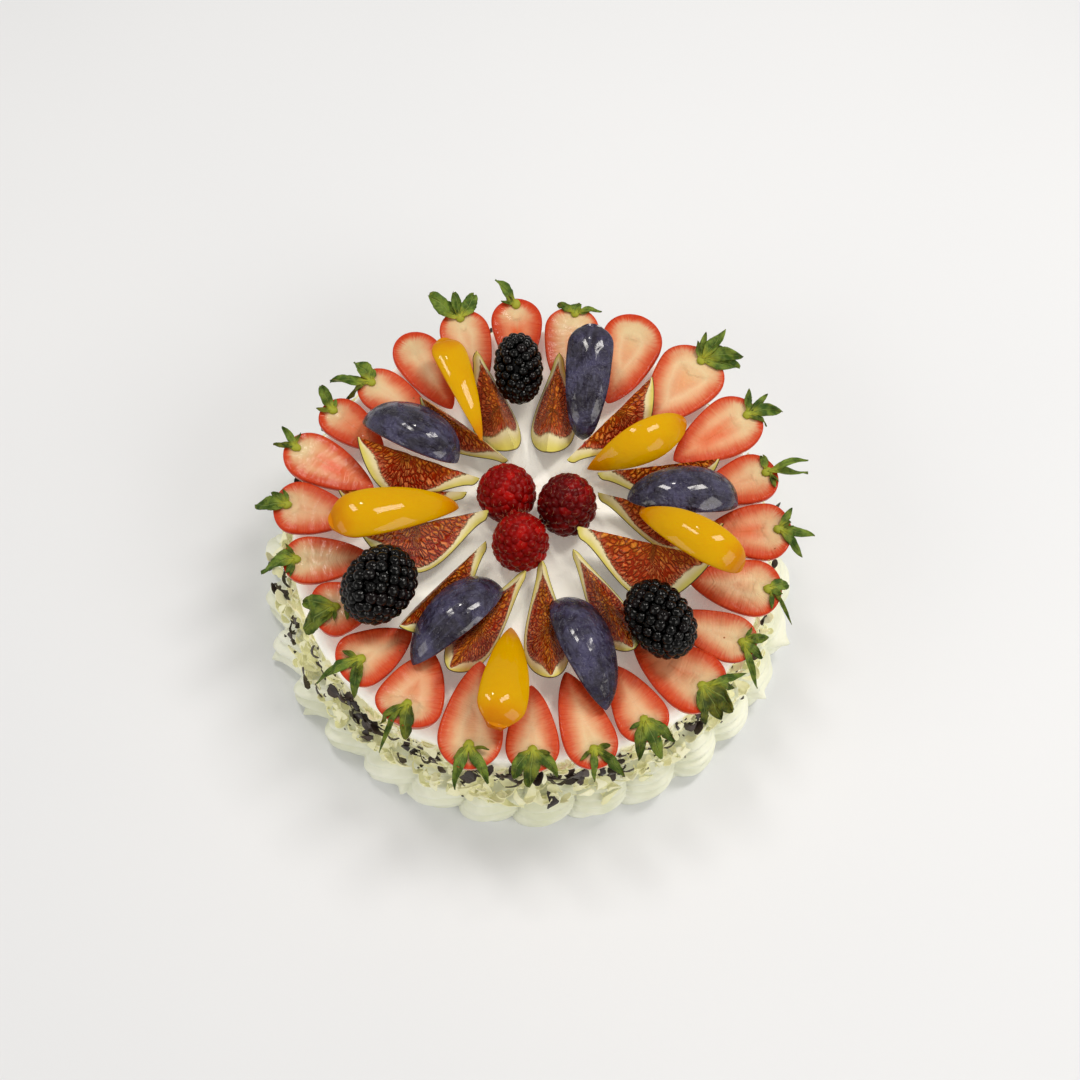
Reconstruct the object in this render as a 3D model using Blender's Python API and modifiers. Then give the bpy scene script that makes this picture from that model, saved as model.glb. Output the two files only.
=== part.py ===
"""Round cream cake dressed with cut fruit: a cream-coated cake with a piped border round its foot,
a ring of strawberry halves, a star of fig wedges, peach and plum slices laid over them, and whole berries.

Lengths are written in millimetres and multiplied by MM. Places on the top are given as a clock angle in
degrees (0 at the back, +Y, growing clockwise seen from above) and a distance from the middle.
"""

import math
import random

import bmesh
import bpy
from mathutils import Matrix, Vector
from mathutils.bvhtree import BVHTree

MM = 0.001
GAP = 0.45 * MM  # clear space between pieces that touch
LEAST_GAP = 0.25 * MM
MERGE = 0.05 * MM
SHARP_ANGLE = 40  # degrees: edges sharper than this stay crisp
RAY_STEP = 0.8 * MM  # grid of the rays that find how far a piece can drop
RAY_REACH = 200 * MM
SEED = 11

# Cake and its cream coat
CAKE_RADIUS = 100 * MM
CAKE_HEIGHT = 54 * MM
CAKE_EDGE = 5 * MM
CAKE_EDGE_ARC = (0, 30, 60, 90)  # degrees round the rounded top edge
CAKE_SIDES = 72

# Chocolate shavings on the wall, between the border and the top edge
FLAKE_COUNT = 44
FLAKE_LENGTH = (5 * MM, 11 * MM)
FLAKE_WIDTH = (2.5 * MM, 4.5 * MM)
FLAKE_THICKNESS = 0.9 * MM
FLAKE_BAND = (33 * MM, 45 * MM)
FLAKE_LIFT = 1.0 * MM
FLAKE_SCATTER = 0.3  # share of their spacing
FLAKE_LEAN = 16  # degrees off the wall
FLAKE_TWIST = 80  # degrees off upright

# Piped border round the foot
SHELL_COUNT = 30
SHELL_COLUMNS = 5
SHELL_HEIGHT = (18 * MM, 27 * MM)
SHELL_DEPTH = (9.5 * MM, 15 * MM)
SHELL_SLANT = 0.22
SHELL_FULLEST = 250  # clock angle of the side where the border was piped fullest
SHELL_UNEVEN = 0.05
SHELL_OVAL_SIDE = 100  # the ring is a little oval: clock angle of one of its two fuller sides
SHELL_OVAL = 0.13
SHELL_LEVELS = (0.0, 0.16, 0.42, 0.70, 0.92)
SHELL_SWELL = 0.7  # roundness of a shell from one crease to the next
SHELL_DOME = (2.4, 0.7)  # roundness of its top, as the two exponents of the arch
SHELL_BELLY = (0.90, 0.4)  # fullness at the foot, and what it gains by the top
SHELL_CREST = 1.5 * MM  # height of the border at the wall, above its last level

# Strawberry halves, lying on their backs with the tip a little lower than the leafy end
STRAWBERRY_DEPTH = 0.86
STRAWBERRY_TIP = 4
STRAWBERRY_WIDEST = 0.70
STRAWBERRY_TIP_CURVE = (1.6, 0.72)  # exponents of the outline from the widest place to the tip
STRAWBERRY_LEAFY_CURVE = (2.2, 0.5)  # and from the widest place to the leafy end
STRAWBERRY_STEPS = 5
STRAWBERRY_SPARE = 0.975
LEAF_THICKNESS = 0.8 * MM
LEAF_START = 3 * MM
LEAF_DEPTH = 1.5 * MM
LEAF_SPREAD = 2.5 * MM
LEAF_DROOP = 0.3
LEAF_WAVE = 0.05
LEAF_RIPPLES = (5, 2)  # radians of the wave along the leaf, and of its shift from the middle to a side
LEAF_CUP = 0.12
LEAF_ARCH = (0.22, 0.70)  # the leaf's outline is this stretch of a half turn of sine: start and share
LEAF_FULLNESS = 0.8
LEAF_RISE_CURVE = 1.5
LEAF_SEGMENTS = (3, 2)

# Clock angle, distance of the leafy end, width and length in mm, turn and lean in degrees, kept leaves
STRAWBERRIES = [
    (338.2, 106.0, 25, 39, 0, 3, "clover"),
    (351.8, 107.5, 25, 38, 1, 0, "curl"),
    (6.6, 104.5, 25, 40, 0, -3, "crown"),
    (23.0, 108.7, 25, 46, -7, 4, "none"),
    (42.6, 109.5, 29, 43, -7, 2, "star"),
    (58.8, 109.0, 28, 44, -6, 4, "slender"),
    (74.8, 104.8, 25, 35, -8, -3, "loop"),
    (89.3, 106.5, 26, 37, -6, 3, "slender"),
    (106.0, 105.6, 25, 38, -10, 3, "pair"),
    (120.0, 105.0, 22, 37, -11, 6, "strand"),
    (135.4, 107.0, 30, 41, -12, 2, "bunch"),
    (149.4, 105.0, 24, 34, 0, 4, "fork"),
    (163.4, 108.5, 24, 41, -5, -3, "fork"),
    (176.0, 107.0, 24, 35, -1, 3, "crown"),
    (190.2, 109.5, 27, 44, -8, -2, "fork"),
    (206.0, 103.0, 27, 32, -8, 4, "strand"),
    (223.4, 101.0, 23, 32, 12, -4, "drape"),
    (238.4, 97.7, 26, 28, 8, 3, "bunch"),
    (253.6, 102.8, 23, 36, 8, 3, "single"),
    (268.2, 106.0, 25, 34, 8, -3, "single"),
    (282.2, 108.0, 25, 42, 12, 3, "stub"),
    (295.8, 102.8, 22, 33, 9, 4, "nub"),
    (308.8, 99.5, 22, 41, -8, -4, "wings"),
    (324.0, 104.0, 23, 42, 2, 3, "none"),
]

# Leaves of each kind of crown: direction in degrees from straight out, length and width in mm, and rise
SPRAYS = {
    "none": [],
    "clover": [(-40, 14, 9, 0.7), (4, 11, 6, 0.6), (48, 12, 7, 0.4)],
    "curl": [(-32, 11, 5, 0.7)],
    "crown": [(-66, 8, 4, 0.1), (-12, 6, 6, 0.0), (55, 10, 4, 0.1)],
    "star": [(-30, 12, 4, 0.5), (4, 17, 6, 0.5), (38, 18, 7, 0.3), (70, 15, 6, 0.2)],
    "slender": [(-46, 11, 4, 0.4), (-4, 15, 5, 0.2), (46, 8, 4, 0.0)],
    "loop": [(0, 17, 4, 0.3), (20, 16, 5, 0.0)],
    "pair": [(-26, 8, 6, 0.2), (34, 11, 4, -0.1)],
    "strand": [(-30, 8, 6, 0.1), (40, 14, 3.5, -0.2)],
    "bunch": [(-34, 9, 7, 0.1), (6, 11, 8, -0.1), (46, 10, 6, -0.1)],
    "fork": [(-28, 8, 5, -0.1), (20, 10, 5, -0.2)],
    "drape": [(-52, 8, 5, 0.1), (24, 14, 7, -0.2)],
    "single": [(-10, 12, 7, 0.2)],
    "stub": [(-12, 6, 4, 0.6), (26, 6, 3.5, 0.1)],
    "nub": [(16, 8, 5, 0.8)],
    "wings": [(-38, 15, 7, 0.5), (26, 9, 7, 0.4), (-76, 10, 3, -0.1)],
}

PROFILE_STATIONS = 8  # points along every turned fruit
WEDGE_STEPS = 4  # facets round the skin of a wedge

FIG_CURVE = (1.35, 0.8)  # how far the belly sits towards the round end, and how full it is
FIG_NECK = (0.22, 0.04)  # radius of the neck at the stem, and how soon it is reached, as shares
# Clock angle and distance of the middle in mm, length, radius, wedge angle, turn, tip, roll, stem outward
FIGS = [
    (338.7, 52.5, 50, 19, 62, -2, 2, 4, True),
    (6.0, 50.0, 48, 19, 60, -3, 2, -4, True),
    (34.4, 52.0, 51, 18, 52, 8, 12, -14, False),
    (64.5, 56.0, 51, 17, 52, 20, 12, -16, False),
    (86.5, 51.5, 54, 19, 56, 21, 12, -4, False),
    (107.2, 47.5, 56, 23, 58, -3, 8, -26, False),
    (141.4, 48.0, 52, 18, 52, 9, 10, 12, False),
    (169.8, 47.5, 54, 18, 60, 3, 10, 0, False),
    (196.0, 51.1, 55, 18, 56, 13, 10, -10, False),
    (222.8, 48.3, 53, 18, 54, -8, 10, 6, False),
    (256.0, 43.5, 53, 20, 60, -8, 10, 22, False),
    (275.0, 53.5, 53, 16, 44, -15, 12, 16, False),
    (291.5, 52.0, 53, 19, 56, -9, 8, 20, False),
    (317.5, 46.0, 46, 16, 48, -16, 8, -4, False),
]

STONE_HOLLOW = (0.32, 0.30)  # half length and depth of the stone's hollow, as shares of length and radius
SLICE_CENTRE = 0.6  # a slice turns about this share of its radius below the stone's line
# Clock angle and distance of the middle in mm, length, radius, wedge angle, turn, tip, roll, and how sharp
# the inner and the outer end are: about 0.1 for a blunt end and 1 for a point
PEACHES = [
    (328.5, 61.5, 49, 15, 64, 4, -6, 192, 0.80, 0.14),
    (52.0, 55.2, 48, 15, 76, 6, 4, 206, 0.84, 0.72),
    (102.5, 64.0, 47, 15, 72, 17, 2, 190, 0.62, 0.38),
    (184.5, 69.0, 51, 18, 70, 1, 10, 168, 0.80, 0.24),
    (262.0, 54.0, 55, 18, 70, -12, 8, 172, 0.62, 0.26),
]
PLUMS = [
    (18.0, 62.0, 48, 15, 86, -16, 12, 176, 0.36, 0.14),
    (81.0, 62.5, 46, 15, 96, 4, -5, 178, 0.50, 0.44),
    (156.5, 62.0, 50, 15, 96, -1, 6, 168, 0.46, 0.62),
    (209.5, 56.0, 48, 15, 96, 10, 6, 192, 0.46, 0.62),
    (301.0, 61.5, 45, 16, 104, -6, -4, 194, 0.46, 0.48),
]

# Clock angle and distance of the middle in mm, length, radius, turn, tip
DARK_BERRIES = [
    (351.0, 66.5, 32, 10.9, 2, 14),
    (234.5, 70.0, 34, 14.2, -24, 0),
    (131.8, 70.0, 35, 12.8, 14, 5),
]
# Clock angle and distance of the middle in mm, height, radius, lean outward
RASPBERRIES = [
    (308.9, 14.6, 25, 14.0, 0),
    (73.8, 14.4, 32, 13.9, 0),
    (195.4, 14.3, 29, 13.2, 0),
]
DRUPELETS = 52
DRUPELET_VALLEY = 0.93  # how far the skin between two drupelets is pulled in, as a share of its radius
DRUPELET_UNEVEN = 0.03
BERRY_BLUNT = 2.3
BERRY_EASE = 0.35  # how much the spiral of drupelets slows down towards the two ends
RASPBERRY_FOOT = 1.06  # share of the radius at the open foot, and how much less it is at the tip
RASPBERRY_TAPER = 0.32

FINISHES = {  # colour, roughness
    "cream": ((0.86, 0.85, 0.70), 0.5),
    "strawberry": ((0.80, 0.22, 0.11), 0.3),
    "fig": ((0.42, 0.11, 0.06), 0.4),
    "peach": ((0.93, 0.52, 0.02), 0.2),
    "plum": ((0.07, 0.06, 0.14), 0.3),
    "dark_berry": ((0.02, 0.01, 0.015), 0.15),
    "raspberry": ((0.35, 0.01, 0.02), 0.3),
}


def clear_scene():
    for obj in list(bpy.data.objects):
        bpy.data.objects.remove(obj)


def finish(name):
    found = bpy.data.materials.get(name)
    if found:
        return found
    colour, roughness = FINISHES[name]
    made = bpy.data.materials.new(name)
    made.use_nodes = True
    shader = made.node_tree.nodes["Principled BSDF"]
    shader.inputs["Base Color"].default_value = (*colour, 1)
    shader.inputs["Roughness"].default_value = roughness
    return made


def object_from(bm, name, kind, collection):
    """Turns the bmesh into a named, smoothly shaded object with its finish."""
    bmesh.ops.recalc_face_normals(bm, faces=bm.faces)
    mesh = bpy.data.meshes.new(name)
    bm.to_mesh(mesh)
    bm.free()
    mesh.shade_smooth()
    mesh.set_sharp_from_angle(angle=math.radians(SHARP_ANGLE))
    mesh.materials.append(finish(kind))
    obj = bpy.data.objects.new(name, mesh)
    collection.objects.link(obj)
    return obj


def join_on(obj, extras):
    """Fuses the objects of the collection onto obj, and removes them."""
    if extras.objects:
        union = obj.modifiers.new("join", "BOOLEAN")
        union.operation = "UNION"
        union.solver = "MANIFOLD"
        union.operand_type = "COLLECTION"
        union.collection = extras
        graph = bpy.context.evaluated_depsgraph_get()
        obj.data = bpy.data.meshes.new_from_object(obj.evaluated_get(graph))
        obj.modifiers.clear()
    for extra in list(extras.objects):
        bpy.data.objects.remove(extra)
    bpy.data.collections.remove(extras)


def helper_collection(name):
    made = bpy.data.collections.new(name)
    bpy.context.scene.collection.children.link(made)
    return made


def on_top(angle, distance, height=CAKE_HEIGHT):
    """The point at that clock angle and distance from the middle."""
    a = math.radians(angle)
    return Vector((distance * math.sin(a), distance * math.cos(a), height))


def laid(angle, distance, turn=0.0, tip=0.0, roll=0.0, pivot=0.0):
    """Places a piece whose own +X points outward. Its point at the pivot along +X lies at the distance."""
    return (
        Matrix.Translation(on_top(angle, distance))
        @ Matrix.Rotation(math.radians(90 - angle - turn), 4, "Z")
        @ Matrix.Rotation(math.radians(-tip), 4, "Y")
        @ Matrix.Rotation(math.radians(roll), 4, "X")
        @ Matrix.Translation((-pivot, 0, 0))
    )


def surface_of(obj):
    """The object's surface in world space for ray casts, the corners of its box and its own corners."""
    bm = bmesh.new()
    bm.from_mesh(obj.data)
    bm.transform(obj.matrix_world)
    tree = BVHTree.FromBMesh(bm)
    corners = [v.co.copy() for v in bm.verts]
    low = [min(c[k] for c in corners) for k in range(3)]
    high = [max(c[k] for c in corners) for k in range(3)]
    bm.free()
    return tree, low, high, corners


def too_close(own, others):
    """Whether a surface meets one of the others, or a corner of either comes nearer than the least gap."""
    for other in others:
        if any(other[1][k] > own[2][k] + GAP or other[2][k] < own[1][k] - GAP for k in range(3)):
            continue
        if own[0].overlap(other[0]):
            return True
        for tree, corners in ((own[0], other[3]), (other[0], own[3])):
            if any(tree.find_nearest(corner, LEAST_GAP)[0] for corner in corners):
                return True
    return False


def free_drop(own, below):
    """How far a surface can be lowered before it meets the surfaces below, by rays on a fine grid."""
    tree, low, high, _ = own
    near = [b[0] for b in below if all(b[1][k] < high[k] and b[2][k] > low[k] for k in range(2))]
    down, up = Vector((0, 0, -1)), Vector((0, 0, 1))
    room = math.inf
    for i in range(int((high[0] - low[0]) / RAY_STEP) + 1):
        for j in range(int((high[1] - low[1]) / RAY_STEP) + 1):
            x, y = low[0] + RAY_STEP * i, low[1] + RAY_STEP * j
            bottom = tree.ray_cast(Vector((x, y, -RAY_REACH)), up)[0]
            if bottom is None:
                continue
            for other in near:
                top = other.ray_cast(Vector((x, y, RAY_REACH)), down)[0]
                if top is not None:
                    room = min(room, bottom.z - top.z)
    return room


def set_down(obj, matrix, below):
    """Puts the object at the matrix, then lowers it straight down until it rests on the pieces below."""
    obj.matrix_world = matrix
    drop = GAP - free_drop(surface_of(obj), below)
    obj.matrix_world = Matrix.Translation((0, 0, drop)) @ matrix
    while too_close(surface_of(obj), below):
        drop += GAP / 3
        obj.matrix_world = Matrix.Translation((0, 0, drop)) @ matrix
    below.append(surface_of(obj))


def turned_wedge(name, outline, core, angle, steps, kind, collection):
    """The part of a turned fruit between its outline and its core line, swept about X and centred on -Z."""
    bm = bmesh.new()
    points = outline + core[::-1]
    turn = Matrix.Rotation(-angle / 2, 3, "X")
    ring = [bm.verts.new(turn @ Vector((x, 0, -r))) for x, r in points]
    slice_face = bm.faces.new(ring)
    bmesh.ops.spin(bm, geom=[slice_face], axis=(1, 0, 0), cent=(0, 0, 0), angle=angle, steps=steps)
    bmesh.ops.remove_doubles(bm, verts=bm.verts, dist=MERGE)
    bmesh.ops.triangulate(bm, faces=bm.faces, quad_method="BEAUTY", ngon_method="BEAUTY")
    return object_from(bm, name, kind, collection)


def strawberry_shape(t):
    """Half width, as a share, from the tip at 0 to the leafy end at 1."""
    if t > STRAWBERRY_WIDEST:
        away = (t - STRAWBERRY_WIDEST) / (1 - STRAWBERRY_WIDEST)
        curve, fullness = STRAWBERRY_LEAFY_CURVE
    else:
        away = (STRAWBERRY_WIDEST - t) / STRAWBERRY_WIDEST
        curve, fullness = STRAWBERRY_TIP_CURVE
    return (1 - away**curve) ** fullness


def fig_shape(t):
    """Radius, as a share, from the blunt neck of the stem at 0 to the round end at 1."""
    belly, fullness = FIG_CURVE
    width, start = FIG_NECK
    neck = width * min(1, math.sqrt(t / start)) * (1 - t)
    return math.hypot(math.sin(math.pi * t**belly) ** fullness, neck)


def stone_fruit_shape(t, inner, outer):
    """Radius, as a share, from the inner end at 0 to the outer at 1, for ends as sharp as given."""
    widest = inner / (inner + outer)
    return (t / widest) ** inner * ((1 - t) / (1 - widest)) ** outer


def stone_shape(t):
    """The hollow that the stone leaves along the middle of a peach slice."""
    reach, depth = STONE_HOLLOW
    return depth * math.sqrt(max(0.0, 1 - ((t - 0.5) / reach) ** 2))


def profile(shape, length, radius):
    """Points of a turned outline, closer together near the ends, which lie on the axis."""
    points = []
    for k in range(PROFILE_STATIONS + 1):
        t = (1 - math.cos(math.pi * k / PROFILE_STATIONS)) / 2
        r = radius * shape(t) if 0 < k < PROFILE_STATIONS else 0.0
        points.append((length * t, r))
    return points


def make_cake(collection):
    """The cake under its cream: a turned profile, with the larger chocolate shavings fused to its wall."""
    bm = bmesh.new()
    rim, shoulder = CAKE_RADIUS - CAKE_EDGE, CAKE_HEIGHT - CAKE_EDGE
    turns = [math.radians(d) for d in CAKE_EDGE_ARC]
    corner = [(rim + CAKE_EDGE * math.sin(a), shoulder + CAKE_EDGE * math.cos(a)) for a in turns]
    points = [(0, CAKE_HEIGHT), *corner, (CAKE_RADIUS, 0), (0, 0)]
    ring = [bm.verts.new((x, 0, z)) for x, z in points]
    for a, b in zip(ring, ring[1:]):
        bm.edges.new((a, b))
    bmesh.ops.spin(
        bm, geom=bm.verts[:] + bm.edges[:], axis=(0, 0, 1), cent=(0, 0, 0), angle=math.tau, steps=CAKE_SIDES
    )
    bmesh.ops.remove_doubles(bm, verts=bm.verts, dist=MERGE)
    cake = object_from(bm, "cake", "cream", collection)
    draw = random.Random(SEED)
    flakes = helper_collection("flakes")
    for k in range(FLAKE_COUNT):
        angle = 360 * (k + draw.uniform(-FLAKE_SCATTER, FLAKE_SCATTER)) / FLAKE_COUNT
        size = (draw.uniform(*FLAKE_WIDTH), FLAKE_THICKNESS, draw.uniform(*FLAKE_LENGTH))
        place = on_top(angle, CAKE_RADIUS + FLAKE_LIFT - size[1], draw.uniform(*FLAKE_BAND))
        bm = bmesh.new()
        bmesh.ops.create_cube(bm, size=1, matrix=Matrix.Diagonal((*size, 1)))
        flake = object_from(bm, f"flake{k}", "cream", flakes)
        flake.matrix_world = (
            Matrix.Translation(place)
            @ Matrix.Rotation(math.radians(-angle), 4, "Z")
            @ Matrix.Rotation(math.radians(draw.uniform(-FLAKE_LEAN, FLAKE_LEAN)), 4, "X")
            @ Matrix.Rotation(math.radians(draw.uniform(-FLAKE_TWIST, FLAKE_TWIST)), 4, "Y")
        )
    bpy.context.view_layer.update()
    join_on(cake, flakes)
    return cake


def shell_section(column):
    """One upright section through the piped border: the wall side, then up the outer side of the shell."""
    share = column / SHELL_COLUMNS
    clock = 360 * column / (SHELL_COUNT * SHELL_COLUMNS)
    fuller = 1 + SHELL_UNEVEN * math.cos(math.radians(clock - SHELL_FULLEST))
    fuller += SHELL_OVAL * math.cos(math.radians(2 * (clock - SHELL_OVAL_SIDE)))
    points = [(CAKE_RADIUS + GAP, 0.0)]
    for level in SHELL_LEVELS:
        phase = (share + SHELL_SLANT * level) % 1 - 0.5
        swell = math.cos(math.pi * phase) ** SHELL_SWELL
        depth = SHELL_DEPTH[0] + (SHELL_DEPTH[1] - SHELL_DEPTH[0]) * swell
        height = SHELL_HEIGHT[0] + (SHELL_HEIGHT[1] - SHELL_HEIGHT[0]) * swell
        fullness = (1 - level ** SHELL_DOME[0]) ** SHELL_DOME[1] * (SHELL_BELLY[0] + SHELL_BELLY[1] * level)
        points.append((CAKE_RADIUS + GAP + fuller * depth * fullness, height * level))
    points.append((CAKE_RADIUS + GAP, points[-1][1] + SHELL_CREST))
    return points


def make_border(collection):
    """The ring of piped cream shells that stands round the foot of the cake."""
    bm = bmesh.new()
    columns = SHELL_COUNT * SHELL_COLUMNS
    rings = []
    for column in range(columns):
        a = math.tau * column / columns
        section = shell_section(column)
        rings.append([bm.verts.new((r * math.sin(a), r * math.cos(a), z)) for r, z in section])
    for ring, after in zip(rings, rings[1:] + rings[:1]):
        for k in range(len(ring)):
            follow = (k + 1) % len(ring)
            bm.faces.new((ring[k], ring[follow], after[follow], after[k]))
    bmesh.ops.triangulate(bm, faces=bm.faces)
    return object_from(bm, "cream_border", "cream", collection)


def leaf_point(t, side, length, width, rise):
    """A point of the leaf at share t along it and side -1 to 1 across it: it rises, droops and waves."""
    spread = math.sin(math.pi * (LEAF_ARCH[0] + LEAF_ARCH[1] * t)) ** LEAF_FULLNESS
    wave = LEAF_WAVE * math.sin(LEAF_RIPPLES[0] * t + LEAF_RIPPLES[1] * side)
    lift = rise * t**LEAF_RISE_CURVE - LEAF_DROOP * t * t + wave * t
    return Vector((length * t, width / 2 * side * spread, length * lift + LEAF_CUP * width * side * side))


def make_leaf(name, length, width, rise, collection):
    """A thin wavy leaf along +X, from a shaped grid with thickness."""
    bm = bmesh.new()
    bmesh.ops.create_grid(bm, x_segments=LEAF_SEGMENTS[0], y_segments=LEAF_SEGMENTS[1], size=0.5)
    for v in bm.verts:
        v.co = leaf_point(v.co.x + 0.5, 2 * v.co.y, length, width, rise)
    bmesh.ops.triangulate(bm, faces=bm.faces)
    leaf = object_from(bm, name, "strawberry", collection)
    thick = leaf.modifiers.new("thickness", "SOLIDIFY")
    thick.thickness = LEAF_THICKNESS
    thick.offset = 0
    return leaf


def make_strawberry(name, width, length, spray, collection):
    """Half a strawberry, cut face up, its tip at the start of +X and its leaves at the far end."""
    outline = profile(strawberry_shape, length, width / 2)
    half = turned_wedge(name, outline, [], math.pi, STRAWBERRY_STEPS, "strawberry", collection)
    for v in half.data.vertices:
        v.co.z *= STRAWBERRY_DEPTH
    leaves = helper_collection(name + "_leaves")
    for k, (direction, reach, breadth, rise) in enumerate(SPRAYS[spray]):
        leaf = make_leaf(f"{name}_leaf{k}", reach * MM, breadth * MM, rise, leaves)
        side = -LEAF_SPREAD * math.sin(math.radians(direction))
        leaf.matrix_world = Matrix.Translation((length - LEAF_START, side, -LEAF_DEPTH)) @ Matrix.Rotation(
            math.radians(-direction), 4, "Z"
        )
    bpy.context.view_layer.update()
    join_on(half, leaves)
    return half


def strawberry_places():
    """Shares the ring out by width, so that the halves just clear: rows of angle, distance and width."""
    places = []
    count = len(STRAWBERRIES)
    for k, (angle, outer, width, length, *_) in enumerate(STRAWBERRIES):
        before, after = STRAWBERRIES[k - 1], STRAWBERRIES[(k + 1) % count]
        room_before = ((angle - before[0]) % 360) * width / (width + before[2])
        room_after = ((after[0] - angle) % 360) * width / (width + after[2])
        middle = angle + (room_after - room_before) / 2
        distance = (outer - (1 - STRAWBERRY_WIDEST) * length) * MM
        room = 2 * distance * math.tan(math.radians(room_before + room_after) / 2)
        places.append((middle, distance, room * STRAWBERRY_SPARE - GAP))
    return places


def make_wedge(name, shape, hollow, length, radius, wedge, kind, collection):
    """A wedge cut lengthwise from a turned fruit, with the hollow of its stone where it has one."""
    outline = profile(shape, length, radius)
    core = [p for p in profile(hollow, length, radius) if p[1] > 0] if hollow else []
    return turned_wedge(name, outline, core, math.radians(wedge), WEDGE_STEPS, kind, collection)


def berry_point(k, length, radius, stands):
    """The k-th drupelet's peak, on a spiral along a blunt egg; a standing berry tapers to its tip."""
    share = (k + 0.5) / DRUPELETS
    along = BERRY_EASE * (1 - math.cos(math.pi * share)) / 2 + (1 - BERRY_EASE) * share
    r = radius * math.sqrt(1 - abs(2 * along - 1) ** BERRY_BLUNT)
    if stands:
        r *= RASPBERRY_FOOT - RASPBERRY_TAPER * along
    a = math.pi * (3 - math.sqrt(5)) * k
    return Vector((length * (along - 0.5), r * math.cos(a), r * math.sin(a)))


def make_berry(name, length, radius, stands, kind, collection):
    """A berry of many drupelets: the peaks are hulled, and the skin between them is pulled in."""
    draw = random.Random(name)
    bm = bmesh.new()
    for k in range(DRUPELETS):
        uneven = draw.uniform(1 - DRUPELET_UNEVEN, 1 + DRUPELET_UNEVEN)
        bm.verts.new(berry_point(k, length, radius, stands) * uneven)
    bmesh.ops.convex_hull(bm, input=bm.verts)
    split = bmesh.ops.subdivide_edges(bm, edges=bm.edges[:], cuts=1, use_grid_fill=True)
    for v in split["geom_inner"]:
        if isinstance(v, bmesh.types.BMVert):
            v.co *= DRUPELET_VALLEY
    bmesh.ops.triangulate(bm, faces=bm.faces)
    return object_from(bm, name, kind, collection)


def main():
    clear_scene()
    parts = helper_collection("fruit_cake")
    cake = make_cake(parts)
    make_border(parts)
    below = [surface_of(cake)]

    ring = []
    for k, (row, place) in enumerate(zip(STRAWBERRIES, strawberry_places()), 1):
        _, _, _, length, turn, lean, spray = row
        angle, distance, width = place
        half = make_strawberry(f"strawberry_{k:02d}", width, length * MM, spray, parts)
        widest = STRAWBERRY_WIDEST * length * MM
        own = [below[0]]
        set_down(half, laid(angle, distance, turn, STRAWBERRY_TIP, lean, widest), own)
        ring.append(own[1])
    below += ring

    for k, (angle, middle, length, radius, wedge, turn, tip, roll, flipped) in enumerate(FIGS, 1):
        fig = make_wedge(
            f"fig_wedge_{k:02d}", fig_shape, None, length * MM, radius * MM, wedge, "fig", parts
        )
        place = laid(angle, middle * MM, turn, tip, roll)
        facing = Matrix.Rotation(math.pi, 4, "Z") if flipped else Matrix.Identity(4)
        set_down(fig, place @ facing @ Matrix.Translation((-length * MM / 2, 0, 0)), below)

    for kind, rows, hollow in (("peach", PEACHES, stone_shape), ("plum", PLUMS, None)):
        for k, (angle, middle, length, radius, wedge, turn, tip, roll, inner, outer) in enumerate(rows, 1):
            def shape(t):
                return stone_fruit_shape(t, inner, outer)
            piece = make_wedge(
                f"{kind}_slice_{k}", shape, hollow, length * MM, radius * MM, wedge, kind, parts
            )
            centred = Matrix.Translation((-length * MM / 2, 0, SLICE_CENTRE * radius * MM))
            set_down(piece, laid(angle, middle * MM, turn, tip, roll) @ centred, below)

    for k, (angle, middle, length, radius, turn, tip) in enumerate(DARK_BERRIES, 1):
        berry = make_berry(f"dark_berry_{k}", length * MM, radius * MM, False, "dark_berry", parts)
        set_down(berry, laid(angle, middle * MM, turn, tip), below)
    for k, (angle, middle, height, radius, lean) in enumerate(RASPBERRIES, 1):
        berry = make_berry(f"raspberry_{k}", height * MM, radius * MM, True, "raspberry", parts)
        set_down(berry, laid(angle, middle * MM, 0, 90 - lean), below)


main()
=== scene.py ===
import math
import random
import time

import bmesh
import bpy
import numpy as np
from mathutils import Matrix, Vector, noise


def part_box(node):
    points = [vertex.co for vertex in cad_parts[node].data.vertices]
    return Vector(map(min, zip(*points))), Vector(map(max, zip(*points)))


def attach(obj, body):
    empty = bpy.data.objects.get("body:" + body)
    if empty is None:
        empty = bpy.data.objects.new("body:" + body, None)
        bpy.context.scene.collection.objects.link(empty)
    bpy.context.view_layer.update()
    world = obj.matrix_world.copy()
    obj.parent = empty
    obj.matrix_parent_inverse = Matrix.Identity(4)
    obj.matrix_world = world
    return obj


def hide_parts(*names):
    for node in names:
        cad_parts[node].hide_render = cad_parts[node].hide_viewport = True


# the looks of the fruit cake: a fine piece with its own surface and material for every node of the frame
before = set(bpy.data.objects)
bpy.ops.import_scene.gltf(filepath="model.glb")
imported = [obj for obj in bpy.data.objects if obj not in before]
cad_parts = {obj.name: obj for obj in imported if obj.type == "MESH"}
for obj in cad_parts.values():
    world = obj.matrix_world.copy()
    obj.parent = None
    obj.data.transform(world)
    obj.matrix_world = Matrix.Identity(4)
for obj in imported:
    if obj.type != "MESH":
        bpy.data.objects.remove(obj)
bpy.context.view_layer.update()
started = time.time()
mm = 0.001

cakeRadius = 100 * mm
cakeHeight = 54 * mm
restingGap = 0.45 * mm  # clear space under a piece that lies on the cream


def report(stage):
    print(f"{stage}: {time.time() - started:.1f} s")


# colours and shader parts


# A colour as the photo shows it, 0 to 255, as the linear value that a socket takes
def tone(red, green, blue):
    made = []
    for c in (red, green, blue):
        c /= 255
        made.append(c / 12.92 if c <= 0.04045 else ((c + 0.055) / 1.055) ** 2.4)
    return (*made, 1)


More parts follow.
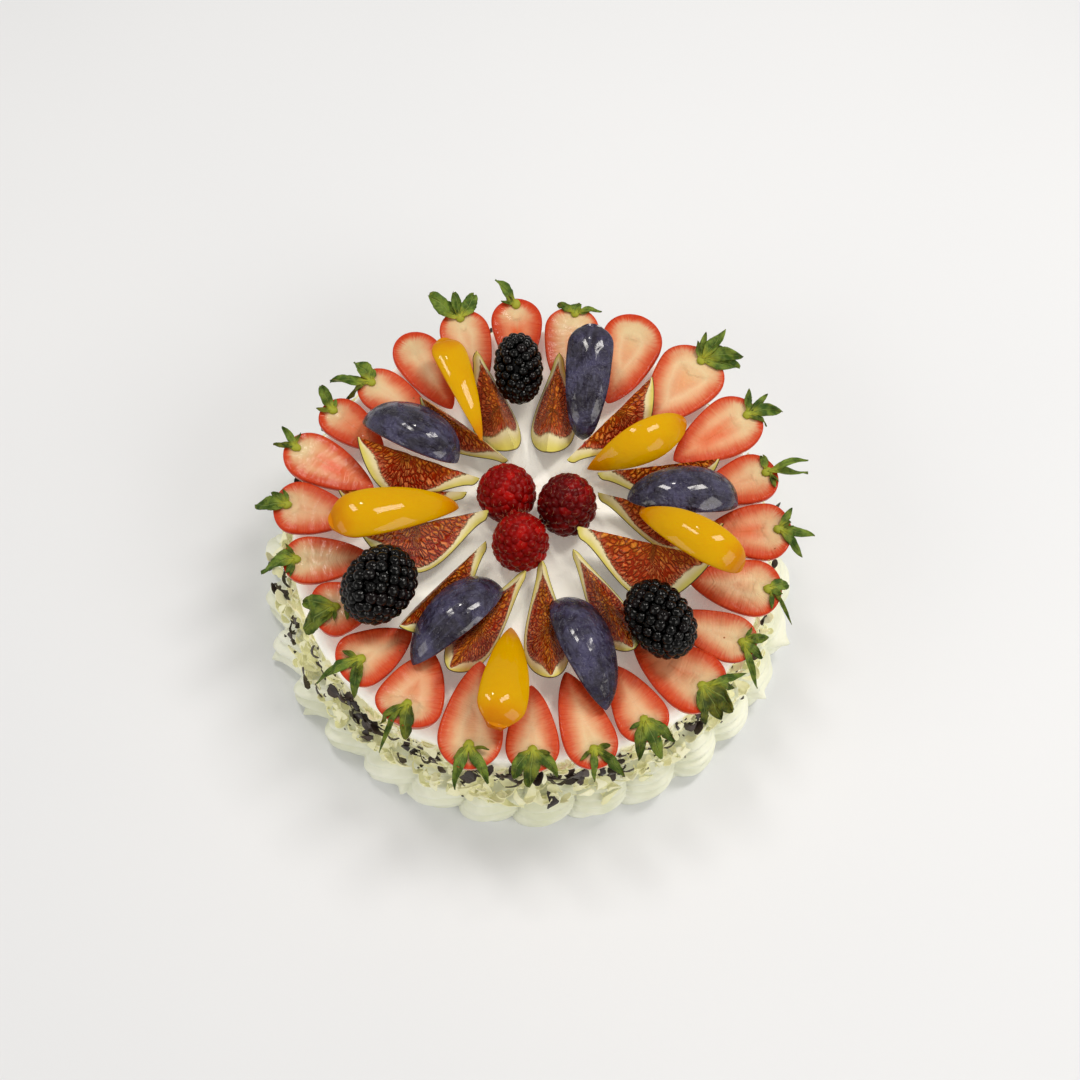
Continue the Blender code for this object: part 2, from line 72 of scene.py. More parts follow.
# A value, vector or colour that varies over a surface. Arithmetic with it adds Math nodes to its tree
class Field:
    def __init__(self, socket):
        self.socket = socket
        self.tree = socket.id_data

    def math(self, kind, other=0.0):
        return addNode(self.tree, "Math", {0: self, 1: other}, operation=kind)[0]

    def __add__(self, other):
        return self.math("ADD", other)

    def __sub__(self, other):
        return self.math("SUBTRACT", other)

    def __mul__(self, other):
        return self.math("MULTIPLY", other)

    def __truediv__(self, other):
        return self.math("DIVIDE", other)

    def __abs__(self):
        return self.math("ABSOLUTE")


# The outputs of a new node with those inputs and settings
def addNode(tree, kind, inputs=None, **settings):
    node = tree.nodes.new("ShaderNode" + kind)
    for key, value in settings.items():
        setattr(node, key, value)
    for key, value in (inputs or {}).items():
        if isinstance(value, Field):
            tree.links.new(value.socket, node.inputs[key])
        else:
            node.inputs[key].default_value = value
    return [Field(output) for output in node.outputs]


# The three numbers that a mesh carries under that name
def siteOf(tree, name="site"):
    vector = addNode(tree, "Attribute", attribute_name=name)[1]
    return addNode(tree, "SeparateXYZ", {0: vector})


# The place in the object's own space
def placeOf(tree):
    return addNode(tree, "TexCoord")[3]


def joined(x, y, z):
    return addNode(x.tree, "CombineXYZ", {0: x, 1: y, 2: z})[0]


# The value taken from low..high to start..end, smoothly
def ramped(value, low, high, start=0.0, end=1.0):
    inputs = {0: value, 1: low, 2: high, 3: start, 4: end}
    return addNode(value.tree, "MapRange", inputs, interpolation_type="SMOOTHSTEP")[0]


# 1 below low and 0 above high
def fading(value, low, high):
    return ramped(value, low, high, 1.0, 0.0)


def mixed(share, first, second):
    return addNode(share.tree, "Mix", {0: share, 6: first, 7: second}, data_type="RGBA")[2]


# The colour under coats of (share, colour), each over the one before
def coated(colour, *coats):
    for share, coat in coats:
        colour = mixed(share, colour, coat)
    return colour


# The colour at value, from stops given as (value, colour) that end at reach
def banded(value, reach, stops):
    node = value.tree.nodes.new("ShaderNodeValToRGB")
    value.tree.links.new((value / reach).socket, node.inputs["Fac"])
    points = node.color_ramp.elements
    for place, _ in stops[1:-1]:
        points.new(place / reach)
    for point, (place, colour) in zip(points, stops):
        point.position = place / reach
        point.color = colour
    return Field(node.outputs["Color"])


def speckle(vector, scale, detail=2.0, rough=0.5, distortion=0.0):
    inputs = {
        "Vector": vector, "Scale": scale, "Detail": detail, "Roughness": rough, "Distortion": distortion,
    }
    return addNode(vector.tree, "TexNoise", inputs)[0]


# Distance from scattered dots, or to the borders between them, and a colour of its own for each dot
def dotted(vector, scale, randomness=1.0, feature="F1"):
    inputs = {"Vector": vector, "Scale": scale, "Randomness": randomness}
    return addNode(vector.tree, "TexVoronoi", inputs, feature=feature)[:2]


def redOf(colour):
    return addNode(colour.tree, "SeparateColor", {0: colour})[0]


# A node group with those inputs and their defaults. Its outputs are what work gives from its tree and inputs
def shaderGroup(name, inputs, outputs, work):
    tree = bpy.data.node_groups.new(name, "ShaderNodeTree")
    for label, default in inputs.items():
        kind = "NodeSocketColor" if isinstance(default, tuple) else "NodeSocketFloat"
        tree.interface.new_socket(label, in_out="INPUT", socket_type=kind).default_value = default
    for label, kind in outputs.items():
        tree.interface.new_socket(label, in_out="OUTPUT", socket_type=kind)
    given = tree.nodes.new("NodeGroupInput").outputs[: len(inputs)]
    results = tree.nodes.new("NodeGroupOutput").inputs
    for field, result in zip(work(tree, *[Field(socket) for socket in given]), results):
        tree.links.new(field.socket, result)
    return tree


# Fibres that run from the skin inward, with soft mottling between them
def streaksAndMottle(tree, fineness, reach):
    along, inward, seed = siteOf(tree, "grain")
    fibre = joined(along * fineness, inward * reach, seed)
    return speckle(fibre, 1.0, 3.0, 0.6), speckle(placeOf(tree), 130, 3.0, 0.55)


# Uneven syrup on cut fruit: where it lies thick it is smooth, and it has small waves
def glazeAndWaves(tree, dry, wet):
    place = placeOf(tree)
    patches = ramped(speckle(place, 170, 2.0, 0.5, 0.4), 0.38, 0.62)
    return patches * (dry - wet) + wet, patches * 0.8 + speckle(place, 420, 3.0, 0.5)


# Whipped cream: faint streaks of fat and tiny pits
def creamAndPits(tree, light, shade):
    place = placeOf(tree)
    broad = ramped(speckle(place, 34, 3.0, 0.6, 0.6), 0.35, 0.68)
    return mixed(broad, light, shade), speckle(place, 160, 3.0, 0.5) * 1.5 + speckle(place, 900, 2.0, 0.6)


fleshStreaks = shaderGroup(
    "fleshStreaks", {"Fineness": 1.0, "Reach": 0.12},
    {"Streak": "NodeSocketFloat", "Mottle": "NodeSocketFloat"}, streaksAndMottle,
)
wetGlaze = shaderGroup(
    "wetGlaze", {"Dry Roughness": 0.35, "Wet Roughness": 0.12},
    {"Roughness": "NodeSocketFloat", "Height": "NodeSocketFloat"}, glazeAndWaves,
)
creamSkin = shaderGroup(
    "creamSkin", {"Light": tone(250, 250, 242), "Shade": tone(232, 232, 212)},
    {"Color": "NodeSocketColor", "Height": "NodeSocketFloat"}, creamAndPits,
)


# A name as Python takes it, as the label of a socket
def labelOf(key):
    return key.replace("_", " ")


# A material, its node tree, and its Principled BSDF with those values
def newMaterial(name, **shaderValues):
    made = bpy.data.materials.new(name)
    made.use_nodes = True
    shader = made.node_tree.nodes["Principled BSDF"]
    for key, value in shaderValues.items():
        shader.inputs[labelOf(key)].default_value = value
    return made, made.node_tree, shader


def useGroup(tree, group, **inputs):
    return addNode(tree, "Group", {labelOf(key): value for key, value in inputs.items()}, node_tree=group)


def feed(shader, **fields):
    for key, field in fields.items():
        shader.id_data.links.new(field.socket, shader.inputs[labelOf(key)])


def setBump(shader, height, distance, strength=1.0):
    inputs = {"Height": height, "Strength": strength, "Distance": distance}
    feed(shader, Normal=addNode(height.tree, "Bump", inputs)[0])


def makeStrawberryFlesh():
    made, tree, shader = newMaterial(
        "strawberryFlesh", Specular_IOR_Level=0.09, Coat_Weight=0.07, Coat_Roughness=0.07,
        Subsurface_Weight=0.1,
        Subsurface_Scale=0.002, Subsurface_Radius=(1.0, 0.35, 0.2),
    )
    along, across, depth = siteOf(tree)
    sideways = abs(across)
    heart, warmth, _ = siteOf(tree, "mood")
    arc = siteOf(tree, "grain")[0]
    fibre, patches = useGroup(tree, fleshStreaks, Fineness=1.4, Reach=0.10)
    streak, mottle = fibre - 0.5, patches - 0.5
    wavyDepth = streak * ramped(depth, 2.5, 7.5, 3.4, 0.7) + depth
    wavyDepth = wavyDepth + mottle * 2.8 + 0.3 - warmth * 1.7
    tick = ramped((arc * 2.8 + mottle * 7).math("SINE"), 0.45, 0.95) * ramped(depth, 0.8, 4.4, 0.5, 0.0)
    redHeart = heart * fading(sideways, 0.08, 0.56) * ramped(along, 0.14, 0.38) * fading(along, 0.66, 0.86)
    slit = heart * fading(sideways, 0.012, 0.05) * ramped(along, 0.34, 0.44) * fading(along, 0.62, 0.74)
    crown = ramped(along + mottle * 0.3 - sideways * 0.2, 0.48, 0.88) * ramped(wavyDepth, 0.8, 4.2)
    pipDistance, pipColour = dotted(placeOf(tree), 150)
    pip = fading(pipDistance, 0.045, 0.075) * ramped(redOf(pipColour), 0.70, 0.72)
    flesh = banded(wavyDepth, 13.0, [
        (0.0, tone(190, 56, 22)), (1.0, tone(200, 74, 36)), (2.6, tone(202, 88, 54)),
        (4.6, tone(212, 128, 88)),
        (6.8, tone(222, 168, 126)), (8.6, tone(226, 186, 144)), (10.6, tone(222, 164, 122)),
        (13.0, tone(224, 158, 110)),
    ])
    colour = coated(
        flesh, (tick, tone(186, 50, 22)), (redHeart, tone(216, 92, 46)), (slit * 0.5, tone(200, 92, 36)),
        (crown * 0.75, tone(218, 202, 156)), (pip, tone(150, 84, 40)),
        (ramped(depth, 0.1, 0.6, 0.4, 0.0), tone(184, 52, 18)),
    )
    roughness, wetness = useGroup(tree, wetGlaze, Dry_Roughness=0.42, Wet_Roughness=0.20)
    feed(shader, Base_Color=colour, Roughness=roughness)
    setBump(shader, fibre * 1.2 + wetness, 0.0003, 0.7)
    return made


def makeStrawberrySkin():
    made, tree, shader = newMaterial("strawberrySkin", Roughness=0.3, Coat_Weight=0.5, Coat_Roughness=0.08)
    place = placeOf(tree)
    pips, _ = dotted(place, 300, 0.6)
    blush = mixed(ramped(speckle(place, 70), 0.35, 0.7), tone(184, 46, 20), tone(216, 88, 44))
    feed(shader, Base_Color=mixed(fading(pips, 0.09, 0.17), blush, tone(226, 180, 80)))
    setBump(shader, ramped(pips, 0.1, 0.6), 0.0004)
    return made


def makeLeafGreen():
    made, tree, shader = newMaterial(
        "crownLeafGreen", Roughness=0.5, Specular_IOR_Level=0.16, Subsurface_Weight=0.1,
        Subsurface_Scale=0.001,
    )
    along, across, _ = siteOf(tree)
    sideways = abs(across)
    warmth = siteOf(tree, "mood")[1]
    patch = speckle(placeOf(tree), 210, 3.0, 0.6)
    light = ramped(patch, 0.35, 0.68)
    fresh = mixed(light, tone(56, 84, 22), tone(118, 142, 54))
    old = mixed(light, tone(46, 56, 10), tone(110, 110, 26))
    ribs = abs((along * 26 - sideways * 7).math("SINE"))
    vein = fading(sideways, 0.02, 0.14).math("MAXIMUM", ramped(ribs, 0.0, 0.22, 0.3, 0.0))
    colour = coated(
        fresh, (warmth, old), (fading(along, 0.02, 0.4), tone(164, 166, 50)),
        (vein * 0.35, tone(152, 170, 92)),
    )
    feed(shader, Base_Color=colour)
    setBump(shader, patch - vein * 1.5, 0.0003)
    return made


# Dark wet pulp between pale membranes with golden seeds, pink threads near the rind, and the pale rind,
# which ends at 3 mm of the numbers that the mesh carries, with its dark skin line at 0
def makeFigFlesh():
    made, tree, shader = newMaterial(
        "figFlesh", Specular_IOR_Level=0.04, Coat_Weight=0.16, Coat_Roughness=0.04,
    )
    depth = siteOf(tree)[2]
    ridge, palenessAndPaintedLight, _ = siteOf(tree, "mood")
    arc, inward, seed = siteOf(tree, "grain")
    streak, _ = useGroup(tree, fleshStreaks, Fineness=1.3, Reach=0.22)
    bend = (speckle(placeOf(tree), 220) - 0.5) * 1.5
    cells = joined(arc * 0.50 + bend, inward * 0.32 + bend, seed)
    seeds, seedColour = dotted(cells, 1.0, 0.9)
    rims, _ = dotted(cells, 1.0, 0.9, "DISTANCE_TO_EDGE")
    shade = redOf(seedColour)
    loop = ramped(seeds, 0.14, 0.30) * ramped(rims, 0.05, 0.16) * ramped(shade, 0.0, 0.7, 0.35, 1.0)
    gap = ramped(rims, 0.02, 0.13, 0.75, 0.0)
    kernel = fading(seeds, 0.14, 0.28) * ramped(shade, 0.55, 0.65)
    tint = ramped(shade * 0.4 + streak * 0.7, 0.3, 0.8)
    wet = mixed(tint, tone(176, 26, 0), tone(216, 60, 2))
    ripe = mixed(tint, tone(172, 54, 0), tone(212, 98, 0))
    golden = coated(ripe, (loop, tone(230, 140, 32)), (gap, tone(120, 30, 0)), (kernel, tone(240, 176, 60)))
    threads = mixed(ramped(streak, 0.40, 0.62), tone(176, 36, 14), tone(234, 150, 104))
    wavyDepth = (streak - 0.5) * 1.8 + depth
    inside = coated(
        wet, (loop, tone(236, 136, 76)), (gap, tone(116, 12, 0)),
        (ramped(ridge, 0.10, 0.42, 0.8, 0.0), golden),
        # a paler orange, partly the fig's own flesh and partly painted light that lifts faces lying in shade
        (palenessAndPaintedLight * 0.35, tone(222, 110, 56)), (ramped(wavyDepth, 3.4, 6.6, 0.85, 0.0), threads),
    )
    rind = mixed(ramped(depth, 0.6, 2.4), tone(222, 210, 106), tone(238, 226, 178))
    flesh = ramped(wavyDepth, 2.7, 3.5)
    colour = coated(rind, (flesh, inside), (fading(depth, 0.25, 0.6), tone(70, 50, 40)))
    roughness, wetness = useGroup(tree, wetGlaze, Dry_Roughness=0.38, Wet_Roughness=0.20)
    feed(shader, Base_Color=colour, Roughness=roughness)
    relief = ramped(rims, 0.0, 0.34) * 1.6 + loop * 0.5 + streak
    setBump(shader, relief * flesh + wetness * 0.15, 0.0008)
    return made


def makeFigSkin():
    made, tree, shader = newMaterial("figSkin", Coat_Weight=0.2, Roughness=0.42)
    _, mottle = useGroup(tree, fleshStreaks, Fineness=0.6, Reach=0.4)
    skin = mixed(ramped(mottle, 0.35, 0.65), tone(52, 34, 46), tone(86, 66, 58))
    feed(shader, Base_Color=mixed(fading(siteOf(tree)[0], 0.05, 0.45), skin, tone(120, 118, 62)))
    setBump(shader, mottle, 0.0003)
    return made


def makePeachGlaze(name, light, deep):
    made, tree, shader = newMaterial(
        name, Specular_IOR_Level=0.0, Coat_Weight=0.4, Coat_Roughness=0.03, Subsurface_Weight=0.15,
        Subsurface_Scale=0.004, Subsurface_Radius=(1.0, 0.5, 0.05),
    )
    streak, mottle = useGroup(tree, fleshStreaks, Fineness=0.35, Reach=0.08)
    # painted shade: the colour darkens to the deep one towards both ends of each slice; the mottling is the
    # flesh's own
    ends = ramped(abs(siteOf(tree)[0] - 0.5), 0.25, 0.5)
    colour = mixed(ramped(ends * 0.45 + mottle * 0.4, 0.12, 0.75), light, deep)
    roughness, wetness = useGroup(tree, wetGlaze, Dry_Roughness=0.24, Wet_Roughness=0.16)
    feed(shader, Base_Color=colour, Roughness=roughness)
    setBump(shader, streak * 0.6 + wetness, 0.00025, 0.35)
    return made


def makePlumSkin():
    made, tree, shader = newMaterial("plumSkin", Specular_IOR_Level=0.2, Coat_Roughness=0.07)
    place = placeOf(tree)
    streak, _ = useGroup(tree, fleshStreaks, Fineness=0.12, Reach=0.5)
    bloom = ramped(speckle(place, 75, 4.0, 0.62, 0.5), 0.36, 0.68)
    colour = coated(
        mixed(bloom, tone(30, 25, 40), tone(68, 65, 94)),
        (ramped(streak, 0.50, 0.72) * 0.35, tone(96, 96, 122)),
        (ramped(dotted(place, 420)[0], 0.05, 0.12, 0.5, 0.0), tone(126, 122, 132)),
    )
    syrup = ramped(speckle(place, 190, 3.0, 0.6, 0.8), 0.40, 0.56, 0.10, 1.0)
    roughness, wetness = useGroup(tree, wetGlaze, Dry_Roughness=0.45, Wet_Roughness=0.22)
    feed(shader, Base_Color=colour, Roughness=roughness, Coat_Weight=syrup)
    setBump(shader, speckle(place, 330, 2.0, 0.5, 1.2) * 1.6 + wetness, 0.0010, 0.9)
    return made


def makePlumFlesh():
    made, tree, shader = newMaterial("plumFlesh", Coat_Weight=0.5, Coat_Roughness=0.08, Roughness=0.3)
    streak, _ = useGroup(tree, fleshStreaks, Fineness=0.5, Reach=0.1)
    flesh = mixed(ramped(streak, 0.3, 0.7), tone(168, 92, 44), tone(206, 150, 84))
    feed(shader, Base_Color=mixed(fading(siteOf(tree)[2], 0.3, 2.6), flesh, tone(124, 34, 40)))
    setBump(shader, streak, 0.0003)
    return made


def makeDrupeletSkin(name, dark, light, roughness, gloss):
    made, tree, shader = newMaterial(name, Specular_IOR_Level=gloss)
    place = placeOf(tree)
    fine = speckle(place, 1100)
    share = speckle(place, 260) * 0.5 + siteOf(tree, "grain")[2] * 0.6
    feed(shader, Base_Color=mixed(ramped(share, 0.3, 0.95), dark, light))
    feed(shader, Roughness=ramped(fine, 0.3, 0.7, roughness, roughness * 1.6))
    setBump(shader, fine, 0.00015)
    return made


# Cream with a faint warm glow: painted light that lifts its shade, strongest on the coat between the fruit
def makeCream(name, light, shade, paintedGlow):
    made, tree, shader = newMaterial(
        name, Roughness=0.40, Subsurface_Weight=0.08, Subsurface_Scale=0.002,
        Subsurface_Radius=(1.0, 0.9, 0.7),
        Coat_Weight=0.1, Coat_Roughness=0.3, Emission_Color=(1, 0.96, 0.86, 1), Emission_Strength=paintedGlow,
    )
    colour, pits = useGroup(tree, creamSkin, Light=light, Shade=shade)
    feed(shader, Base_Color=colour)
    setBump(shader, pits, 0.00012)
    return made


# Shavings and berry hairs glow faintly in their light colour: painted light that lifts their shade
def makeShaving(name, dark, light, roughness):
    made, tree, shader = newMaterial(name, Emission_Color=light, Emission_Strength=0.07)
    grainy = speckle(placeOf(tree), 700, 3.0, 0.6)
    share = siteOf(tree, "grain")[2] * 0.6 + grainy * 0.4
    feed(shader, Base_Color=mixed(ramped(share, 0.15, 0.85), dark, light))
    feed(shader, Roughness=ramped(grainy, 0.3, 0.7, roughness, roughness + 0.2))
    setBump(shader, grainy, 0.0002)
    return made


strawberryFlesh = makeStrawberryFlesh()
strawberrySkin = makeStrawberrySkin()
leafGreen = makeLeafGreen()
figFlesh = makeFigFlesh()
figSkin = makeFigSkin()
# The cut faces take a darker, more orange copy of the peach colour: painted shade on those faces
peachOuter = makePeachGlaze("peachOuter", tone(206, 156, 0), tone(196, 118, 0))
peachCutInShade = makePeachGlaze("peachCutInShade", tone(204, 122, 0), tone(190, 94, 0))
plumSkin = makePlumSkin()
plumFlesh = makePlumFlesh()
darkDrupelet = makeDrupeletSkin("darkDrupelet", tone(0, 0, 0), tone(8, 1, 2), 0.04, 0.25)
redDrupelet = makeDrupeletSkin("redDrupelet", tone(120, 1, 0), tone(164, 8, 2), 0.25, 0.12)
ripeDrupelet = makeDrupeletSkin("ripeDrupelet", tone(84, 1, 2), tone(132, 4, 4), 0.22, 0.13)
berryCore = makeDrupeletSkin("berryCore", tone(20, 2, 3), tone(46, 4, 5), 0.5, 0.2)
berryHair = makeShaving("berryHair", tone(196, 150, 110), tone(226, 190, 150), 0.5)
coatCream = makeCream("coatCream", tone(254, 252, 243), tone(247, 244, 231), 0.19)
pipedCream = makeCream("pipedCream", tone(244, 246, 228), tone(226, 229, 202), 0.02)
darkShaving = makeShaving("darkShaving", tone(34, 26, 22), tone(66, 52, 44), 0.4)
ivoryShaving = makeShaving("ivoryShaving", tone(228, 226, 174), tone(248, 246, 212), 0.45)
report("materials")


# meshes


# A mesh object that rides on the cake, with the numbers that its materials read
def makePiece(name, node, slot, points, faces, materials, slots=None, sharp=None, **fields):
    mesh = bpy.data.meshes.new(name)
    mesh.from_pydata([tuple(p) for p in points], [], [tuple(f) for f in faces])
    for material in materials:
        mesh.materials.append(material)
    if slots is not None:
        mesh.polygons.foreach_set("material_index", np.asarray(slots, dtype=np.int32))
    for label, values in fields.items():
        attribute = mesh.attributes.new(label, "FLOAT_VECTOR", "POINT")
        attribute.data.foreach_set("vector", np.asarray(values, dtype=np.float32).ravel())
    mesh.shade_smooth()
    if sharp:
        mesh.set_sharp_from_angle(angle=math.radians(sharp))
    mesh.update()
    piece = bpy.data.objects.new(name, mesh)
    bpy.context.scene.collection.objects.link(piece)
    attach(piece, "root")
    if node:
        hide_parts(node)


# One piece from several meshes in the same space: points, faces, site, grain, mood and material slot of each
def joinPiece(name, node, slot, parts, matrix, materials):
    points, faceLists, sites, grains, moods, slotLists = zip(*parts)
    faces, slots, base = [], [], 0
    for p, f, s in zip(points, faceLists, slotLists):
        faces += [tuple(int(i) + base for i in face) for face in f]
        slots.append(np.broadcast_to(s, (len(f),)))
        base += len(p)
    makePiece(
        name, node, slot, turned(np.concatenate(points), matrix), faces, materials, np.concatenate(slots),
        site=np.concatenate(sites), grain=np.concatenate(grains), mood=np.concatenate(moods),
    )


# Smooth noise of about -1 to 1 at each point
def bumpy(points, scale, seed):
    offset = Vector((seed * 7.3, seed * 3.1, seed * 5.7))
    values = [noise.noise(Vector(p) * scale + offset) for p in points.reshape(-1, 3)]
    return np.array(values).reshape(points.shape[:-1])


# Quads of a tube of rings as indices into its rows, and each one's place in its ring. The last row of a
# hoop meets its first
def tubeFaces(stations, ringSize, hoop=False):
    row, ring = np.meshgrid(np.arange(stations - 1 + hoop), np.arange(ringSize), indexing="ij")
    here, there = row * ringSize, (row + 1) % stations * ringSize
    after = (ring + 1) % ringSize
    quads = np.stack([here + ring, here + after, there + after, there + ring], -1)
    return quads.reshape(-1, 4), ring.reshape(-1)


def tubeNormals(grid):
    around = np.roll(grid, -1, axis=1) - np.roll(grid, 1, axis=1)
    normal = np.cross(around, np.gradient(grid, axis=0))
    return normal / (np.linalg.norm(normal, axis=2, keepdims=True) + 1e-12)


# The tube with its edges rounded off by averaging neighbours
def smoothed(grid, rounds):
    for _ in range(rounds):
        around = (np.roll(grid, -1, axis=1) + np.roll(grid, 1, axis=1)) / 2
        grid = 0.5 * grid + 0.5 * around
    return grid


# Faces of a thin sheet, whose upper points come first, in rows, and then its lower points in the same order
def sheetFaces(rows, columns):
    count = rows * columns
    faces = []
    for i in range(rows - 1):
        for j in range(columns - 1):
            a = i * columns + j
            quad = (a, a + columns, a + columns + 1, a + 1)
            faces.append(quad)
            faces.append(tuple(q + count for q in quad[::-1]))
    border = list(range(columns)) + [i * columns + columns - 1 for i in range(1, rows)]
    border += [(rows - 1) * columns + j for j in range(columns - 2, -1, -1)]
    border += [i * columns for i in range(rows - 2, 0, -1)]
    return faces + [(a, b, b + count, a + count) for a, b in zip(border, border[1:] + border[:1])]


def unitBall(subdivisions):
    bm = bmesh.new()
    bmesh.ops.create_icosphere(bm, subdivisions=subdivisions, radius=1)
    points = np.array([v.co[:] for v in bm.verts])
    faces = np.array([[v.index for v in f.verts] for f in bm.faces])
    bm.free()
    return points, faces


# How far each point lies from the outline, and how far along the outline that place is
def skinDepth(x, r, outline):
    lengths = np.concatenate([[0], np.cumsum(np.linalg.norm(np.diff(outline, axis=0), axis=1))])
    depth = np.empty(x.shape)
    arc = np.empty(x.shape)
    for k in range(x.shape[0]):
        gaps = np.hypot(x[k][:, None] - outline[None, :, 0], r[k][:, None] - outline[None, :, 1])
        nearest = gaps.argmin(axis=1)
        depth[k] = gaps[np.arange(len(nearest)), nearest]
        arc[k] = lengths[nearest]
    return depth, arc


# Shares from 0 to 1 that lie closer together at both ends
def stationShares(count):
    return (1 - np.cos(np.pi * np.arange(count) / (count - 1))) / 2


def onTop(angle, distance, height=cakeHeight):
    a = math.radians(angle)
    return Vector((distance * math.sin(a), distance * math.cos(a), height))


# Places a piece whose own +X points outward, as the CAD does
def laid(angle, distance, turn=0.0, tip=0.0, roll=0.0, pivot=0.0):
    return (
        Matrix.Translation(onTop(angle, distance))
        @ Matrix.Rotation(math.radians(90 - angle - turn), 4, "Z")
        @ Matrix.Rotation(math.radians(-tip), 4, "Y")
        @ Matrix.Rotation(math.radians(roll), 4, "X")
        @ Matrix.Translation((-pivot, 0, 0))
    )


def turned(points, matrix):
    m = np.array(matrix)
    return np.asarray(points) @ m[:3, :3].T + m[:3, 3]


# The matrix, moved so that the box of the points under it has its middle where the node's box has it
def onNode(points, matrix, node):
    placed = turned(points, matrix)
    low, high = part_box(node)
    middle = (np.array(low) + np.array(high)) / 2
    return Matrix.Translation(Vector(middle - (placed.min(axis=0) + placed.max(axis=0)) / 2)) @ matrix


# strawberry halves

# clock angle, distance of the leafy end, width, length, turn, lean
strawberryRows = [
    (338.2, 106.0, 25, 39, 0, 3), (351.8, 107.5, 25, 38, 1, 0), (6.6, 104.5, 25, 40, 0, -3),
    (23.0, 108.7, 25, 46, -7, 4), (42.6, 109.5, 29, 43, -7, 2), (58.8, 109.0, 28, 44, -6, 4),
    (74.8, 104.8, 25, 35, -8, -3), (89.3, 106.5, 26, 37, -6, 3), (106.0, 105.6, 25, 38, -10, 3),
    (120.0, 105.0, 22, 37, -11, 6), (135.4, 107.0, 30, 41, -12, 2), (149.4, 105.0, 24, 34, 0, 4),
    (163.4, 108.5, 24, 41, -5, -3), (176.0, 107.0, 24, 35, -1, 3), (190.2, 109.5, 27, 44, -8, -2),
    (206.0, 103.0, 27, 32, -8, 4), (223.4, 101.0, 23, 32, 12, -4), (238.4, 97.7, 26, 28, 8, 3),
    (253.6, 102.8, 23, 36, 8, 3), (268.2, 106.0, 25, 34, 8, -3), (282.2, 108.0, 25, 42, 12, 3),
    (295.8, 102.8, 22, 33, 9, 4), (308.8, 99.5, 22, 41, -8, -4), (324.0, 104.0, 23, 42, 2, 3),
]
# red heart, depth of colour, for each half
strawberryMoods = [
    (0.0, 0.2), (1.0, 1.0), (0.1, 0.2), (0.0, 0.7), (0.0, 0.2), (0.8, 0.4), (0.3, 0.7), (0.8, 0.5),
    (0.1, 0.5), (0.0, 0.1), (0.5, 0.9), (0.1, 0.5), (0.0, 0.5), (0.0, 0.3), (0.0, 0.2), (0.3, 0.4),
    (0.0, 0.6), (0.1, 0.5), (0.0, 0.2), (0.2, 0.6), (1.0, 0.5), (0.7, 0.8), (0.0, 0.4), (0.0, 0.7),
]
# leaves of each half: direction, length, width, rise, how far inside the end they start, and age
crownLeaves = [
    [(-44, 15, 10, 0.8, 4, 0.1), (4, 11, 7, 0.7, 4, 0.2), (48, 13, 8, 0.4, 4, 0.1)],
    [(-32, 13, 6, 0.8, 3, 0.1)],
    [(-62, 9, 5, 0.1, 3, 0.4), (-8, 7, 7, 0.1, 4, 0.3), (62, 11, 4, 0.2, 3, 0.2)],
    [],
    [
        (-30, 12, 4, 0.6, 5, 0.4), (2, 17, 7, 0.6, 5, 0.2), (34, 18, 8, 0.4, 5, 0.3),
        (66, 16, 8, 0.2, 5, 0.2),
        (18, 13, 7, 0.2, 4, 0.6),
    ],
    [(-46, 11, 4, 0.5, 5, 0.3), (-10, 13, 4, 0.4, 5, 0.2), (14, 16, 7, 0.2, 5, 0.1), (60, 8, 3, 0.0, 4, 0.6)],
    [(-2, 19, 4, 0.4, 4, 0.1), (16, 18, 6, 0.1, 4, 0.2), (-70, 8, 3, 0.3, 4, 0.6), (100, 7, 3, 0.0, 3, 0.5)],
    [(-50, 10, 4, 0.5, 5, 0.3), (8, 15, 5, 0.1, 5, 0.1), (46, 13, 5, -0.1, 5, 0.2)],
    [(-30, 8, 6, 0.2, 5, 0.2), (40, 14, 2.2, -0.1, 4, 0.4)],
    [(-34, 10, 5, 0.2, 5, 0.4), (10, 9, 5, 0.1, 5, 0.3), (52, 16, 4, -0.2, 5, 0.2)],
    [
        (-38, 12, 5, 0.1, 8, 0.5), (-6, 14, 9, 0.0, 8, 0.9), (26, 13, 8, -0.1, 8, 1.0),
        (58, 12, 6, -0.1, 8, 0.8),
        (-66, 16, 4, 0.3, 6, 0.2),
    ],
    [(-34, 13, 6, 0.1, 8, 0.4), (4, 14, 7, -0.1, 8, 0.3), (40, 13, 6, -0.2, 8, 0.5)],
    [(-38, 14, 5, 0.0, 7, 0.3), (22, 10, 4, -0.2, 7, 0.2)],
    [(-50, 12, 6, 0.1, 8, 0.4), (0, 12, 8, -0.1, 8, 0.6), (44, 11, 7, -0.1, 8, 0.3)],
    [(-26, 14, 6, 0.0, 9, 0.2), (20, 15, 6, -0.1, 9, 0.1)],
    [(-20, 12, 7, 0.1, 8, 0.7), (40, 11, 4, -0.1, 8, 0.6), (24, 17, 3, -0.2, 7, 0.3)],
    [(-40, 13, 6, 0.0, 9, 0.3), (10, 18, 6, -0.1, 9, 0.1)],
    [(-10, 14, 11, 0.1, 9, 0.5), (26, 13, 8, 0.1, 9, 0.3), (-80, 6, 3, 0.2, 14, 0.6)],
    [(-6, 14, 8, 0.2, 5, 0.1), (30, 8, 5, 0.2, 5, 0.3)],
    [(-12, 13, 8, 0.2, 5, 0.2), (24, 8, 5, 0.4, 5, 0.4)],
    [(-16, 9, 4, 0.4, 4, 0.8), (28, 9, 4, 0.8, 4, 0.1)],
    [(14, 10, 6, 0.9, 4, 0.2)],
    [(-36, 17, 7, 0.4, 5, 0.1), (24, 11, 8, 0.5, 5, 0.2), (-72, 12, 3, -0.1, 4, 0.9)],
    [],
]
